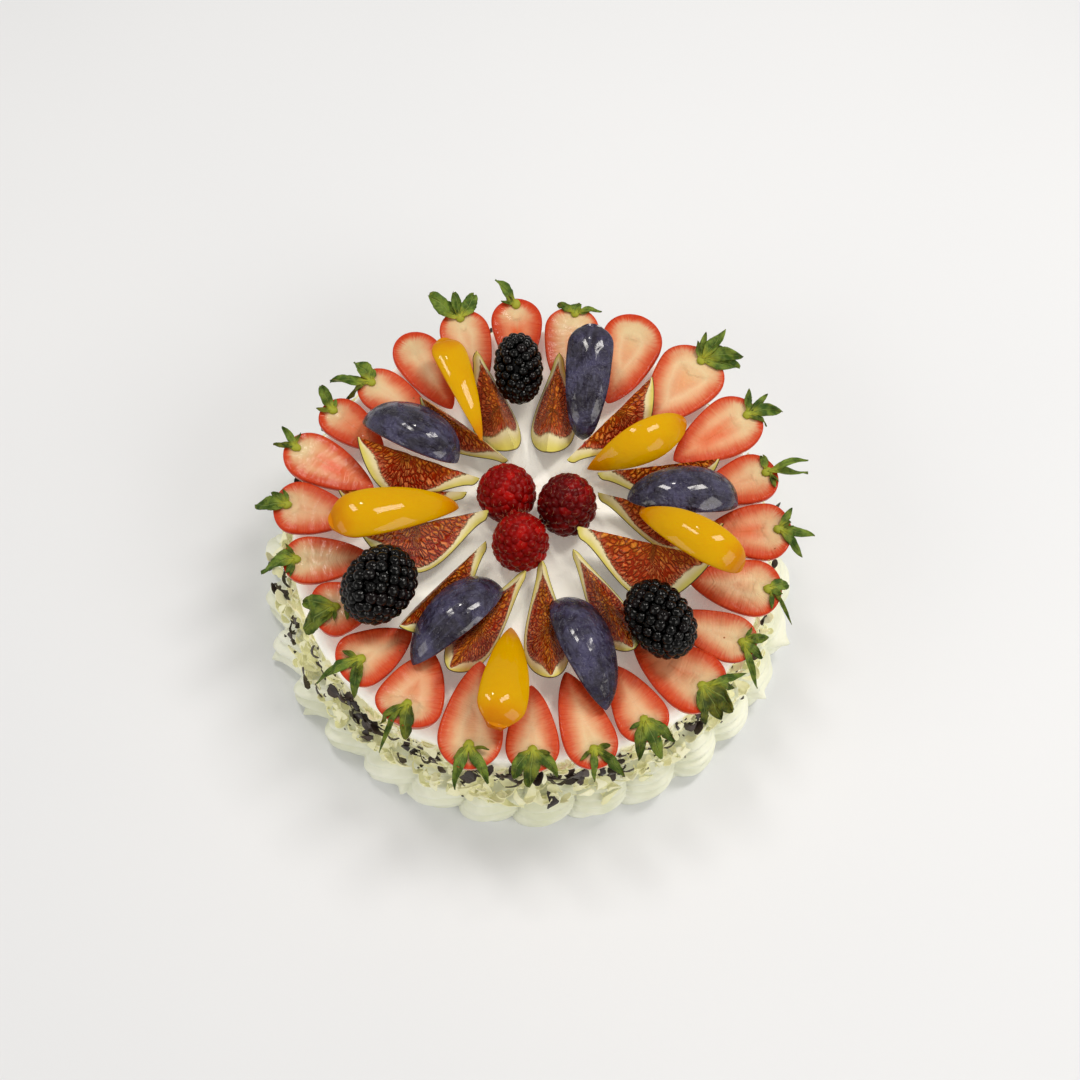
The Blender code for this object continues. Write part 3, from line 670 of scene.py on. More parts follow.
strawberryForm = {
    "depth": 0.86, "tip": 4, "widest": 0.70, "spare": 0.975, "tipCurve": (1.6, 0.72),
    "leafyCurve": (2.2, 0.5),
    "stations": 56, "faceSteps": 26, "bodySteps": 20, "uneven": 0.036, "rim": 2.5 * mm, "ripple": 0.14 * mm,
    "knob": 2.6 * mm,
}
leafForm = {
    "rows": 17, "columns": 7, "breadth": 0.86, "fold": 0.30, "droop": 0.46, "ragged": 0.07,
    "thin": 0.32 * mm, "rib": 0.5 * mm, "lift": 0.6 * mm, "rest": 0.7 * mm,
}


def strawberryShape(t):
    widest = strawberryForm["widest"]
    leafyBulge, leafyFullness = strawberryForm["leafyCurve"]
    tipBulge, tipFullness = strawberryForm["tipCurve"]
    full = (1 - np.clip((t - widest) / (1 - widest), 0, 1) ** leafyBulge) ** leafyFullness
    slim = (1 - np.clip((widest - t) / widest, 0, 1) ** tipBulge) ** tipFullness
    return np.where(t > widest, full, slim)


# Shares the ring out by width, as the CAD does: angle, distance, width
def strawberryPlaces():
    places = []
    count = len(strawberryRows)
    for k, (angle, outer, width, length, *_) in enumerate(strawberryRows):
        before, after = strawberryRows[k - 1], strawberryRows[(k + 1) % count]
        roomBefore = ((angle - before[0]) % 360) * width / (width + before[2])
        roomAfter = ((after[0] - angle) % 360) * width / (width + after[2])
        distance = (outer - (1 - strawberryForm["widest"]) * length) * mm
        room = 2 * distance * math.tan(math.radians(roomBefore + roomAfter) / 2)
        breadth = room * strawberryForm["spare"] - restingGap
        places.append((angle + (roomAfter - roomBefore) / 2, distance, breadth))
    return places


# Half a strawberry, cut face up: points, faces, slots, and the numbers for its materials
def halfStrawberry(width, length, seed):
    form = strawberryForm
    t = stationShares(form["stations"])
    radius = width / 2 * strawberryShape(t)
    across = np.linspace(-1, 1, form["faceSteps"])
    turns = np.linspace(0, np.pi, form["bodySteps"] + 2)[1:-1]
    y = np.concatenate([across, np.cos(turns)])
    z = np.concatenate([np.zeros(len(across)), -np.sin(turns) * form["depth"]])
    ringSize = len(y)
    uneven = np.array([[noise.noise(Vector((s * 3, side * 2, seed))) for side in y] for s in t])
    grid = np.stack([
        np.repeat((t * length)[:, None], ringSize, axis=1),
        radius[:, None] * y[None, :] * (1 + form["uneven"] * uneven),
        radius[:, None] * z[None, :],
    ], axis=2)
    dense = np.linspace(0, 1, 240)
    outline = np.stack([dense * length, width / 2 * strawberryShape(dense)], axis=1)
    depth, arc = skinDepth(grid[:, :, 0], np.abs(grid[:, :, 1]), outline)
    onFace = (np.arange(ringSize) < len(across)).astype(float)[None, :]
    halves = np.repeat(np.sign(y)[None, :], len(t), 0)
    places = np.stack([arc * 500, depth * 120, seed * 3 + halves], 2)
    fibres = bumpy(places, 1, 0)
    grid[:, :, 2] += form["ripple"] * fibres * np.clip(depth / form["rim"], 0, 1) * onFace
    grid = smoothed(grid, 1)
    faces, ring = tubeFaces(len(t), ringSize)
    slots = np.where(ring < len(across) - 1, 0, 1)
    along, side = np.repeat(t[:, None], ringSize, 1), np.repeat(y[None, :], len(t), 0)
    site = np.stack([along, side, depth / mm * onFace], 2)
    grain = np.stack([arc / mm, depth / mm + 0.8 * y[None, :], np.full(depth.shape, seed)], 2)
    return grid.reshape(-1, 3), faces[:, ::-1], slots, site.reshape(-1, 3), grain.reshape(-1, 3)


# A thin leaf along +X, folded at its rib, twisted and toothed: points and site
def leafBlade(length, width, rise, seed):
    form = leafForm
    draw = random.Random(seed)
    rows, columns = form["rows"], form["columns"]
    phase = draw.uniform(0, 6)
    sweep, twist = draw.uniform(-0.16, 0.22), draw.uniform(-0.9, 0.9)
    fold = form["fold"] * draw.uniform(0.4, 1.5)
    pointed = min(1, max(0, (0.75 - width / length) / 0.45))  # broad leaves have round tips
    fullness = 0.34 + 0.5 * pointed + draw.uniform(-0.06, 0.06)
    teeth = [[1 + form["ragged"] * draw.uniform(-1, 0.6) for _ in range(rows)] for _ in range(2)]
    top, site = [], []
    for i in range(rows):
        t = i / (rows - 1)
        spread = math.sin(math.pi * (0.07 + 0.92 * t)) ** fullness
        spread *= (1.0 - 0.1 * pointed * t) * (0.55 + 0.45 * min(1, 3 * t))
        lift = length * (rise * t**1.4 - form["droop"] * t * t + 0.06 * math.sin(5 * t + phase))
        lift += form["lift"]
        for j in range(columns):
            side = 2 * j / (columns - 1) - 1
            reach = form["breadth"] * width / 2 * spread * side * teeth[side > 0][i]
            up = fold * abs(reach) + 0.09 * width * math.sin(8 * t + 3 * side + phase)
            cos, sin = math.cos(twist * t), math.sin(twist * t)
            y, z = reach * cos - up * sin, reach * sin + up * cos
            top.append((length * t, y + sweep * length * t * t, z + lift))
            site.append((t, side, 0))
    top, site = np.array(top), np.array(site)
    thickness = form["thin"] + form["rib"] * (1 - abs(site[:, 1])) * (1 - 0.6 * site[:, 0])
    return np.concatenate([top, top - np.outer(thickness, (0, 0, 1))]), np.concatenate([site, site])


# Small ragged leaflets between the long leaves of a crown: direction, length, width, rise, inside, age
def smallLeaflets(inside, seed):
    draw = random.Random(seed)
    made = []
    for _ in range(draw.randint(2, 4)):
        made.append((
            draw.uniform(-85, 85), draw.uniform(4.5, 7.5), draw.uniform(2.0, 3.4), draw.uniform(0.1, 0.9),
            inside + draw.uniform(-0.6, 0.8), draw.uniform(0.1, 0.9),
        ))
    return made


# Lifts the blade where it would dip into the cut face, so that it lies on it and hangs down past its edge
def laidOverFace(blade, width, length):
    low = blade[len(blade) // 2:]
    along = np.clip(low[:, 0] / length, 0, 1)
    room = np.minimum(width / 2 * strawberryShape(along) - np.abs(low[:, 1]), length - low[:, 0])
    inside = np.clip((room + 2 * mm) / (1.6 * mm), 0, 1)
    raised = np.clip(leafForm["rest"] - low[:, 2], 0, None) * inside
    return blade + np.outer(np.tile(raised, 2), (0, 0, 1))


# A leaf or knob as a part of a strawberry. It has the third material and no grain
def leafPart(points, faces, site, age):
    shape = (len(points), 3)
    mood = np.broadcast_to((0, age, 0), shape)
    return points, faces, np.broadcast_to(site, shape), np.zeros(shape), mood, 2


# The leaves of a crown, and the small pale knob where they meet
def crownParts(leaves, width, length, k):
    inside = leaves[0][4]
    parts = []
    for n, (direction, reach, breadth, rise, start, age) in enumerate(leaves + smallLeaflets(inside, k)):
        blade, site = leafBlade(reach * mm, breadth * mm, rise, k * 10 + n)
        sway = Matrix.Translation((length - start * mm, -1.2 * mm * math.sin(math.radians(direction)), 0))
        sway = sway @ Matrix.Rotation(math.radians(-direction), 4, "Z")
        blade = laidOverFace(turned(blade, sway), width, length)
        parts.append(leafPart(blade, sheetFaces(leafForm["rows"], leafForm["columns"]), site, age))
    ball, faces = unitBall(2)
    lumpy = ball * (1 + 0.18 * bumpy(ball, 1.7, k))[:, None]
    knob = lumpy * np.array([1, 0.8, 0.45]) * strawberryForm["knob"]
    parts.append(leafPart(knob + np.array([length - inside * mm, 0, 0.4 * mm]), faces, (0.12, 0.6, 0.0), 0.3))
    return parts


def makeStrawberries():
    form = strawberryForm
    for k, (row, place, moods) in enumerate(zip(strawberryRows, strawberryPlaces(), strawberryMoods), 1):
        length, turn, lean = row[3] * mm, *row[4:]
        angle, distance, width = place
        points, faces, slots, site, grain = halfStrawberry(width, length, k * 1.7)
        matrix = laid(angle, distance, turn, form["tip"], lean, form["widest"] * length)
        raised = cakeHeight + restingGap - turned(points, matrix)[:, 2].min()
        parts = [(points, faces, site, grain, np.tile((*moods, 0), (len(points), 1)), slots)]
        if crownLeaves[k - 1]:
            parts += crownParts(crownLeaves[k - 1], width, length, k)
        joinPiece(
            f"strawberryHalf{k:02d}", f"strawberry_{k:02d}", "strawberry", parts,
            Matrix.Translation((0, 0, raised)) @ matrix, [strawberryFlesh, strawberrySkin, leafGreen],
        )


# wedges: figs, peaches, plums

# clock angle, mid distance, length, radius, wedge angle, turn, tip, roll, stem outward, extra rind at the
# blossom end, paleness: partly paler flesh, partly painted light that lifts faces lying in shade
figRows = [
    (338.7, 52.5, 50, 19, 62, -2, 2, 4, True, 5.2, 0.9), (6.0, 50.0, 48, 19, 60, -3, 2, -4, True, 4.2, 0.8),
    (34.4, 52.0, 51, 18, 52, 8, 12, -14, False, 3.6, 0.1),
    (64.5, 56.0, 51, 17, 52, 20, 12, -16, False, 2.4, 0.0),
    (86.5, 51.5, 54, 19, 56, 21, 12, -4, False, 2.4, 0.4),
    (107.2, 47.5, 56, 23, 58, -3, 8, -26, False, 3.6, 0.3),
    (141.4, 48.0, 52, 18, 52, 9, 10, 12, False, 2.2, 0.0),
    (169.8, 47.5, 54, 18, 60, 3, 10, 0, False, 2.4, 0.0),
    (196.0, 51.1, 55, 18, 56, 13, 10, -10, False, 2.8, 0.1),
    (222.8, 48.3, 53, 18, 54, -8, 10, 6, False, 2.4, 0.0),
    (256.0, 43.5, 53, 20, 60, -8, 10, 22, False, 3.4, 0.1),
    (275.0, 53.5, 53, 16, 44, -15, 12, 16, False, 2.2, 0.1),
    (291.5, 52.0, 53, 19, 56, -9, 8, 20, False, 4.2, 0.0),
    (317.5, 46.0, 46, 16, 48, -16, 8, -4, False, 2.4, 0.2),
]
figForm = {
    "belly": 1.35, "fullness": 0.8, "neck": 0.22, "neckReach": 0.05, "rind": 2.3, "stemRind": 2.8,
    "eye": 0.22,
    "pulp": 0.45 * mm, "wave": 0.25 * mm,
}
# clock angle, mid distance, length, radius, wedge angle, turn, tip, roll, sharpness of the inner and
# outer end
peachRows = [
    (328.5, 61.5, 49, 15, 64, 4, -6, 192, 0.80, 0.14), (52.0, 55.2, 48, 15, 76, 6, 4, 206, 0.84, 0.72),
    (102.5, 64.0, 47, 15, 72, 17, 2, 190, 0.62, 0.38), (184.5, 69.0, 51, 18, 70, 1, 10, 168, 0.80, 0.24),
    (262.0, 54.0, 55, 18, 70, -12, 8, 172, 0.62, 0.26),
]
plumRows = [
    (18.0, 62.0, 48, 15, 86, -16, 12, 176, 0.36, 0.14), (81.0, 62.5, 46, 15, 96, 4, -5, 178, 0.50, 0.44),
    (156.5, 62.0, 50, 15, 96, -1, 6, 168, 0.46, 0.62), (209.5, 56.0, 48, 15, 96, 10, 6, 192, 0.46, 0.62),
    (301.0, 61.5, 45, 16, 104, -6, -4, 194, 0.46, 0.48),
]
sliceForm = {"bluntEnd": 0.34, "closing": 0.18, "centre": 0.6, "wave": 0.35 * mm, "stone": (0.32, 0.30)}
wedgeForm = {"stations": 64, "faceSteps": 22, "skinSteps": 18, "coreSteps": 7, "sharp": 50}


# A belly near the round end, and the blunt neck of the stem
def figShape(t):
    form = figForm
    neck = form["neck"] * np.sqrt(np.clip(1 - np.clip(1 - t / form["neckReach"], 0, 1) ** 2, 0, 1)) * (1 - t)
    return np.hypot(np.sin(np.pi * t ** form["belly"]) ** form["fullness"], neck)


def isBlunt(sharpness):
    return sharpness < sliceForm["bluntEnd"]


def stoneFruitShape(t, inner, outer):
    widest = inner / (inner + outer)
    t = np.clip(t, 0.03 if isBlunt(inner) else 0, 0.97 if isBlunt(outer) else 1)
    return (t / widest) ** inner * ((1 - t) / (1 - widest)) ** outer


def stoneHollow(t):
    half, depth = sliceForm["stone"]
    return depth * np.sqrt(np.clip(1 - ((t - 0.5) / half) ** 2, 0, 1))


# How far a slice is still open at t: 1 along it, and 0 at its two ends, which close over those shares of it
def closing(t, ends):
    made = np.ones(len(t))
    for away, reach in ((t, ends[0]), (1 - t, ends[1])):
        if reach:
            made = made * np.sqrt(1 - np.clip(1 - away / reach, 0, 1) ** 2)
    return made


# Part of a turned fruit, centred on -Z, with its cut faces and, round a hollow, its core face
def turnedWedge(shape, hollow, length, radius, wedge, seed, ends=(0, 0)):
    stations, faceSteps, skinSteps = wedgeForm["stations"], wedgeForm["faceSteps"], wedgeForm["skinSteps"]
    t = stationShares(stations)
    t = t * t * (3 - 2 * t)  # closer still at the two ends, which may be blunt
    outer = shape(np.clip(t, 1e-9, 1 - 1e-9))
    core = np.minimum(hollow(t), 0.9 * outer) if hollow else np.zeros(stations)
    core = np.maximum(core, outer * (1 - closing(t, [2 * e for e in ends])))
    for end, reach in ((0, ends[0]), (-1, ends[1])):
        if not reach:
            outer[end] = core[end] = 0
    half = math.radians(wedge) / 2
    shares = np.linspace(0, 1, faceSteps + 1)
    ringShare = list(shares) + [1.0] * (skinSteps - 1) + list(shares[::-1])
    ringTurn = [-half] * (faceSteps + 1) + list(np.linspace(-half, half, skinSteps + 1)[1:-1])
    ringTurn += [half] * (faceSteps + 1)
    ringSlot = [0] * faceSteps + [1] * skinSteps + [0] * faceSteps
    if hollow:
        coreSteps = wedgeForm["coreSteps"]
        ringShare += [0.0] * (coreSteps - 1)
        ringTurn += list(np.linspace(half, -half, coreSteps + 1)[1:-1])
        ringSlot += [0] * coreSteps
    else:
        ringShare, ringTurn = ringShare[:-1], ringTurn[:-1]
    share, turn = np.array(ringShare), np.array(ringTurn)
    turns = (turn if hollow else turn * (share > 0))[None, :] * closing(t, ends)[:, None]
    r = radius * (core[:, None] + (outer - core)[:, None] * share[None, :])
    x = np.repeat((t * length)[:, None], len(share), axis=1)
    grid = np.stack([x, r * np.sin(turns), -r * np.cos(turns)], axis=2)
    dense = np.linspace(0, 1, 260)
    denseOuter = shape(np.clip(dense, 1e-9, 1 - 1e-9))
    depth, arc = skinDepth(x, r, np.stack([dense * length, radius * denseOuter], axis=1))
    faces, ring = tubeFaces(stations, len(share))
    slots = np.array(ringSlot)[ring]
    side = np.sign(turn) * (share < 1)
    site = np.stack([x / length, np.repeat(side[None, :], stations, 0), depth / mm], 2)
    skin = (share == 1)[None, :]
    sideways = np.where(skin, radius / mm * turn[None, :], depth / mm)
    grain = np.stack([arc / mm + 60 * ((turn > 0)[None, :] & ~skin), sideways, np.full(depth.shape, seed)], 2)
    return grid, faces, slots, site, grain


# A wedge as a piece, where its CAD node lies
def makeWedgePiece(name, node, slot, grid, faces, slots, matrix, materials, **fields):
    points = grid.reshape(-1, 3)
    placed = turned(points, onNode(points, matrix, node))
    fields = {label: values.reshape(-1, 3) for label, values in fields.items()}
    makePiece(name, node, slot, placed, faces, materials, slots, wedgeForm["sharp"], **fields)


def makeFigs():
    form = figForm
    for k, row in enumerate(figRows, 1):
        angle, middle, length, radius, wedge, turn, tip, roll, flipped, rind, palenessAndPaintedLight = row
        length, radius = length * mm, radius * mm
        grid, faces, slots, site, grain = turnedWedge(figShape, None, length, radius, wedge, k * 2.3)
        along, depth = site[:, :, 0], site[:, :, 2]
        wave = bumpy(grid, 260, k)
        inner = np.hypot(grid[:, :, 1], grid[:, :, 2]) / radius
        eye = np.exp(-((inner / form["eye"]) ** 2)) * (1 - flipped)
        blossom = np.clip((along - 0.62) / 0.25, 0, 1) * (1 - eye)
        blossom *= 1 + flipped * 1.1 * np.exp(-((inner / 0.4) ** 2))
        stem = np.clip((0.32 - along) / 0.20, 0, 1)
        rindWidth = form["rind"] + rind * blossom + form["stemRind"] * stem
        rindWidth = rindWidth + 0.7 * wave * (blossom + stem) - 1.2 * eye * (along > 0.8)
        deep = np.clip((depth - rindWidth) / 1.5, 0, 1)
        site[:, :, 2] = np.where(depth > 0.5, 0.5 + (depth - 0.5) * 2.5 / (rindWidth - 0.5), depth)
        pulp = bumpy(grid, 700, k + 5)
        grid = grid + tubeNormals(grid) * ((form["pulp"] * pulp + form["wave"] * wave) * deep)[:, :, None]
        mood = np.stack([inner, np.full(inner.shape, palenessAndPaintedLight), 0 * inner], 2)
        facing = Matrix.Rotation(math.pi, 4, "Z") if flipped else Matrix.Identity(4)
        matrix = laid(angle, middle * mm, turn, tip, roll) @ facing @ Matrix.Translation((-length / 2, 0, 0))
        makeWedgePiece(
            f"figWedge{k:02d}", f"fig_wedge_{k:02d}", "fig", grid, faces, slots, matrix, [figFlesh, figSkin],
            site=site, grain=grain, mood=mood,
        )


def makeSlices(kind, rows, hollow, rounds, materials):
    form = sliceForm
    for k, (angle, middle, length, radius, wedge, turn, tip, roll, inner, outer) in enumerate(rows, 1):
        length, radius = length * mm, radius * mm
        grid, faces, slots, site, grain = turnedWedge(
            lambda t: stoneFruitShape(t, inner, outer), hollow, length, radius, wedge, k * 3.7,
            [form["closing"] * isBlunt(sharpness) for sharpness in (inner, outer)],
        )
        grid = smoothed(grid, rounds)
        grid = grid + tubeNormals(grid) * (form["wave"] * bumpy(grid, 70, k + len(kind)))[:, :, None]
        sunk = Matrix.Translation((-length / 2, 0, form["centre"] * radius))
        makeWedgePiece(
            f"{kind}Slice{k}", f"{kind}_slice_{k}", kind, grid, faces, slots,
            laid(angle, middle * mm, turn, tip, roll) @ sunk, materials, site=site, grain=grain,
        )


# berries

# clock angle, distance, length, radius, turn, tip, drupelets, drupelet radius
darkBerryRows = [
    (351.0, 66.5, 32, 10.9, 2, 14, 108, 2.3), (234.5, 70.0, 34, 14.2, -24, 0, 132, 2.65),
    (131.8, 70.0, 35, 12.8, 14, 5, 126, 2.5),
]
# clock angle, distance, height, radius, drupelets, drupelet radius
raspberryRows = [
    (308.9, 14.6, 25, 14.0, 108, 2.8), (73.8, 14.4, 32, 13.9, 126, 2.75), (195.4, 14.3, 29, 13.2, 116, 2.7),
]
berryForm = {
    "blunt": 2.3, "foot": 1.06, "taper": 0.32, "beadSizes": (0.84, 1.16), "darkHairs": 0, "redHairs": 2,
    "hairLength": (1.2, 2.6), "hairThickness": 0.035 * mm,
}


# A place on the berry's spiral, and the way out there
def berryPoint(share, k, length, radius, stands, inset):
    along = 0.35 * (1 - math.cos(math.pi * share)) / 2 + 0.65 * share
    r = (radius - inset) * math.sqrt(max(0.0, 1 - abs(2 * along - 1) ** berryForm["blunt"]))
    if stands:
        r *= berryForm["foot"] - berryForm["taper"] * along
    a = math.pi * (3 - math.sqrt(5)) * k
    point = Vector(((length - 2 * inset) * (along - 0.5), r * math.cos(a), r * math.sin(a)))
    out = Vector((point.x / (length / 2) ** 2, point.y / radius**2, point.z / radius**2)).normalized()
    return point, out


# A berry of many drupelets round a core, with fine hairs. One that stands narrows towards its tip
def makeBerry(name, node, slot, matrix, size, stands, count, beadRadius, hairs, materials):
    draw = random.Random(name)
    length, radius = size[0] * mm, size[1] * mm
    beadRadius *= mm
    ball, ballFaces = unitBall(2)
    points, faces, grain = [], [], []
    hairPoints, hairFaces = [], []
    for k in range(count):
        bead = beadRadius * draw.uniform(*berryForm["beadSizes"])
        share = min(1, max(0, (k + 0.5 + draw.uniform(-0.5, 0.5)) / count))
        point, out = berryPoint(share, k + draw.uniform(-0.03, 0.03), length, radius, stands, bead)
        turn = out.to_track_quat("Z", "Y").to_matrix()
        squash = np.array([1.0, draw.uniform(0.94, 1.08), 0.82 if stands else 0.95]) * bead
        points.append((ball * squash) @ np.array(turn).T + np.array(point))
        faces.append(ballFaces + len(ball) * k)
        grain.append(np.tile((0, 0, draw.random() ** 2), (len(ball), 1)))
        for _ in range(hairs):
            lean = (out + Vector([draw.uniform(-0.6, 0.6) for _ in range(3)])).normalized()
            hairLength = draw.uniform(*berryForm["hairLength"]) * mm
            hairMesh(hairPoints, hairFaces, point + out * bead * 0.8, lean, hairLength, draw)
    core, coreFaces = unitBall(3)
    core = core * np.array([length / 2 - beadRadius, radius - beadRadius, radius - beadRadius]) * 0.97
    if stands:
        core[:, 1:] *= (berryForm["foot"] - berryForm["taper"] * (core[:, :1] / length + 0.5)) * 0.97
    beads = np.concatenate(points)
    zeros = np.zeros_like
    parts = [
        (beads, np.concatenate(faces), zeros(beads), np.concatenate(grain), zeros(beads), 0),
        (core, coreFaces, zeros(core), zeros(core), zeros(core), 1),
    ]
    if hairs:
        hair = np.array(hairPoints)
        parts.append((hair, hairFaces, zeros(hair), zeros(hair), zeros(hair), 2))
    joinPiece(name, node, slot, parts, onNode(beads, matrix, node), materials)


# One bent hair as a thin three-sided spike
def hairMesh(points, faces, start, lean, length, draw):
    side = lean.orthogonal().normalized()
    other = lean.cross(side)
    bend = side * draw.uniform(-0.5, 0.5) + other * draw.uniform(-0.5, 0.5)
    base = len(points)
    for step in range(3):
        s = step / 3
        centre = start + lean * length * s + bend * length * s * s
        for corner in range(3):
            a = math.tau * corner / 3
            away = side * math.cos(a) + other * math.sin(a)
            points.append(tuple(centre + away * berryForm["hairThickness"] * (1 - 0.6 * s)))
    points.append(tuple(start + lean * length + bend * length))
    for step in range(2):
        for corner in range(3):
            a, b = base + step * 3 + corner, base + step * 3 + (corner + 1) % 3
            faces.append((a, b, b + 3, a + 3))
    for corner in range(3):
        faces.append((base + 6 + corner, base + 6 + (corner + 1) % 3, base + 9))


def makeBerries():
    for k, (angle, middle, length, radius, turn, tip, count, bead) in enumerate(darkBerryRows, 1):
        makeBerry(
            f"darkBerry{k}", f"dark_berry_{k}", "dark_berry", laid(angle, middle * mm, turn, tip),
            (length, radius),
            False, count, bead, berryForm["darkHairs"], [darkDrupelet, darkDrupelet, berryHair],
        )
    for k, (angle, middle, height, radius, count, bead) in enumerate(raspberryRows, 1):
        makeBerry(
            f"raspberry{k}", f"raspberry_{k}", "raspberry", laid(angle, middle * mm, 0, 90), (height, radius),
            True, count, bead, berryForm["redHairs"],
            [ripeDrupelet if k == 2 else redDrupelet, berryCore, berryHair],
        )


# cream coat, border and shavings

coatForm = {
    "edge": 5 * mm, "topRings": 60, "edgeRings": 8, "wallRings": 24, "columns": 300, "topWave": 0.45 * mm,
    "wallWave": 0.7 * mm,
}
shellForm = {
    "count": 30, "columns": 24, "levels": 44, "height": (17, 26), "depth": (9.0, 15), "slant": 0.22,
    "fullest": 250, "uneven": 0.05, "ovalSide": 100, "oval": 0.13, "layers": (2.6, 3.4), "crease": 4.2,
    "petalSide": 255, "wave": 0.5 * mm,
}
# pulled peaks of cream: clock angle, level, how far out in mm, breadth in degrees
creamPeaks = [
    (204.3, 0.14, 5.0, 1.1), (117.0, 0.52, 5.5, 1.2), (103.7, 0.50, 6.0, 1.5), (232.0, 0.10, 3.5, 1.2),
    (246.0, 0.12, 3.0, 1.4), (268.0, 0.55, 3.0, 1.4), (287.0, 0.40, 4.0, 1.3), (31.0, 0.45, 4.5, 1.4),
    (55.0, 0.20, 3.5, 1.2), (340.0, 0.5, 4.0, 1.3),
]
# crowd is the clock angle where most lie. clusters is 1 for tight patches, and below 0 they thin out a little
shavingForm = {
    "darkShavings": {
        "material": darkShaving, "count": 230, "seed": 21, "length": (4.5, 11.0), "width": (2.2, 5.2),
        "crowd": 225,
        "clusters": 1.0,
    },
    "darkCrumbs": {
        "material": darkShaving, "count": 160, "seed": 22, "length": (0.8, 2.6), "width": (0.5, 1.6),
        "crowd": 240,
        "clusters": 0.6,
    },
    "ivoryShavings": {
        "material": ivoryShaving, "count": 1100, "seed": 23, "length": (5.0, 13.0), "width": (2.2, 5.4),
        "crowd": 205,
        "clusters": -0.4,
    },
}
chipForm = {"rows": 7, "columns": 3, "thickness": 0.35 * mm, "curl": (0.5, 3.0), "sharp": 40}


# The cream coat: a turned profile with spatula marks and small waves
def makeCoat():
    form = coatForm
    edge, topRings, columns = form["edge"], form["topRings"], form["columns"]
    profile = [(r, cakeHeight) for r in np.linspace(0.2 * mm, cakeRadius - edge, topRings)]
    for a in np.linspace(0.15, math.pi / 2, form["edgeRings"]):
        profile.append((cakeRadius - edge + edge * math.sin(a), cakeHeight - edge + edge * math.cos(a)))
    profile += [(cakeRadius, z) for z in np.linspace(cakeHeight - edge - 1.5 * mm, 0, form["wallRings"])]
    clock = np.linspace(0, math.tau, columns, endpoint=False)
    outward = np.stack([np.sin(clock), np.cos(clock), 0 * clock], 1)[None]
    r, z = np.array(profile).T
    grid = r[:, None, None] * outward
    grid[:, :, 2] = z[:, None]
    wave = np.clip(bumpy(grid, 45, 2) * 0.5 + bumpy(grid, 160, 3) * 0.2, -1, 0.2)
    onTopFace = (np.arange(len(profile)) < topRings)[:, None]
    lift = np.where(onTopFace, form["topWave"], form["wallWave"]) * wave * (z > 1 * mm)[:, None]
    grid = grid + np.where(onTopFace[:, :, None], np.array([0, 0, 1.0]), outward) * lift[:, :, None]
    faces = [tuple(f) for f in tubeFaces(len(profile), columns)[0]]
    faces.append(tuple(range(columns)))
    faces.append(tuple((len(profile) - 1) * columns + c for c in range(columns - 1, -1, -1)))
    makePiece("creamCoat", "cake", "cream", grid.reshape(-1, 3), faces, [coatCream], sharp=60)


# Radius and height of the piped border there: a shell is a stack of soft folds, or on one side a
# leaning petal
def shellPoint(column, columns, level):
    form = shellForm
    clock = 360 * column / columns
    share = form["count"] * column / columns + form["slant"] * level
    number, phase = math.floor(share), share % 1 - 0.5
    petal = max(0.0, math.cos(math.radians(clock - form["petalSide"]))) ** 0.7
    own = 1 + 0.07 * math.sin(number * 4.7) + 0.04 * math.sin(number * 2.3)
    fuller = 1 + form["uneven"] * math.cos(math.radians(clock - form["fullest"]))
    fuller += form["oval"] * math.cos(math.radians(2 * (clock - form["ovalSide"])))
    rounded = max(0.0, math.cos(math.pi * phase)) ** 0.55
    leaning = max(0.0, math.sin(math.pi * (phase + 0.5) ** 1.7)) ** 0.6
    swell = rounded + (leaning - rounded) * petal
    depth, height = (low + (high - low) * swell * own for low, high in (form["depth"], form["height"]))
    body = max(0.0, 1 - level**2.2) ** 0.75 * (0.92 + 0.35 * level)
    layers = form["layers"][1] + (form["layers"][0] - form["layers"][1]) * petal
    smile = -1.5 * phase * phase * (1 - petal) + 2.3 * phase * petal + 0.22 * phase * math.sin(number * 2.7)
    stacked = level * layers + (1 - petal) * (5.2 * level**2.2 - level * layers)
    fold = (stacked + smile + 0.25 * math.sin(number * 1.9)) % 1
    crease = form["crease"] * (math.sin(math.pi * fold) ** (0.55 + 0.25 * petal) - 0.75)
    depth = depth * body * fuller + crease * (0.35 + 0.65 * swell) * min(1, 2.2 * body)
    for place, peakLevel, reach, breadth in creamPeaks:
        away = ((clock - place + 180) % 360 - 180) / breadth
        depth += reach * math.exp(-abs(away) ** 1.3 - (abs(level - peakLevel) / 0.10) ** 1.5)
    raised = 0.5 * crease * level**3 * min(1, 3 * body) * (1 - 0.5 * petal)
    return cakeRadius + (depth + 0.5) * mm, (height * level + raised) * mm


def makeBorder():
    form = shellForm
    columns = form["count"] * form["columns"]
    foot = cakeRadius + 0.3 * mm
    points = []
    for column in range(columns):
        a = math.tau * column / columns
        ring = [shellPoint(column, columns, level) for level in np.linspace(0, 0.985, form["levels"])]
        ring = [(foot, 0.0)] + ring + [(foot, ring[-1][1] + 1.0 * mm)]
        points.append([(r * math.sin(a), r * math.cos(a), z) for r, z in ring])
    grid = np.array(points)
    wave = form["wave"] * bumpy(grid, 120, 8)
    middle = slice(3, -1)
    radial = grid[:, :, :2] / np.linalg.norm(grid[:, :, :2], axis=2, keepdims=True)
    grid[:, middle, :2] += radial[:, middle] * wave[:, middle, None]
    grid[:, middle, 2] += wave[:, middle]
    faces, _ = tubeFaces(*grid.shape[:2], hoop=True)
    makePiece("pipedBorder", "cream_border", "cream", grid.reshape(-1, 3), faces, [pipedCream])


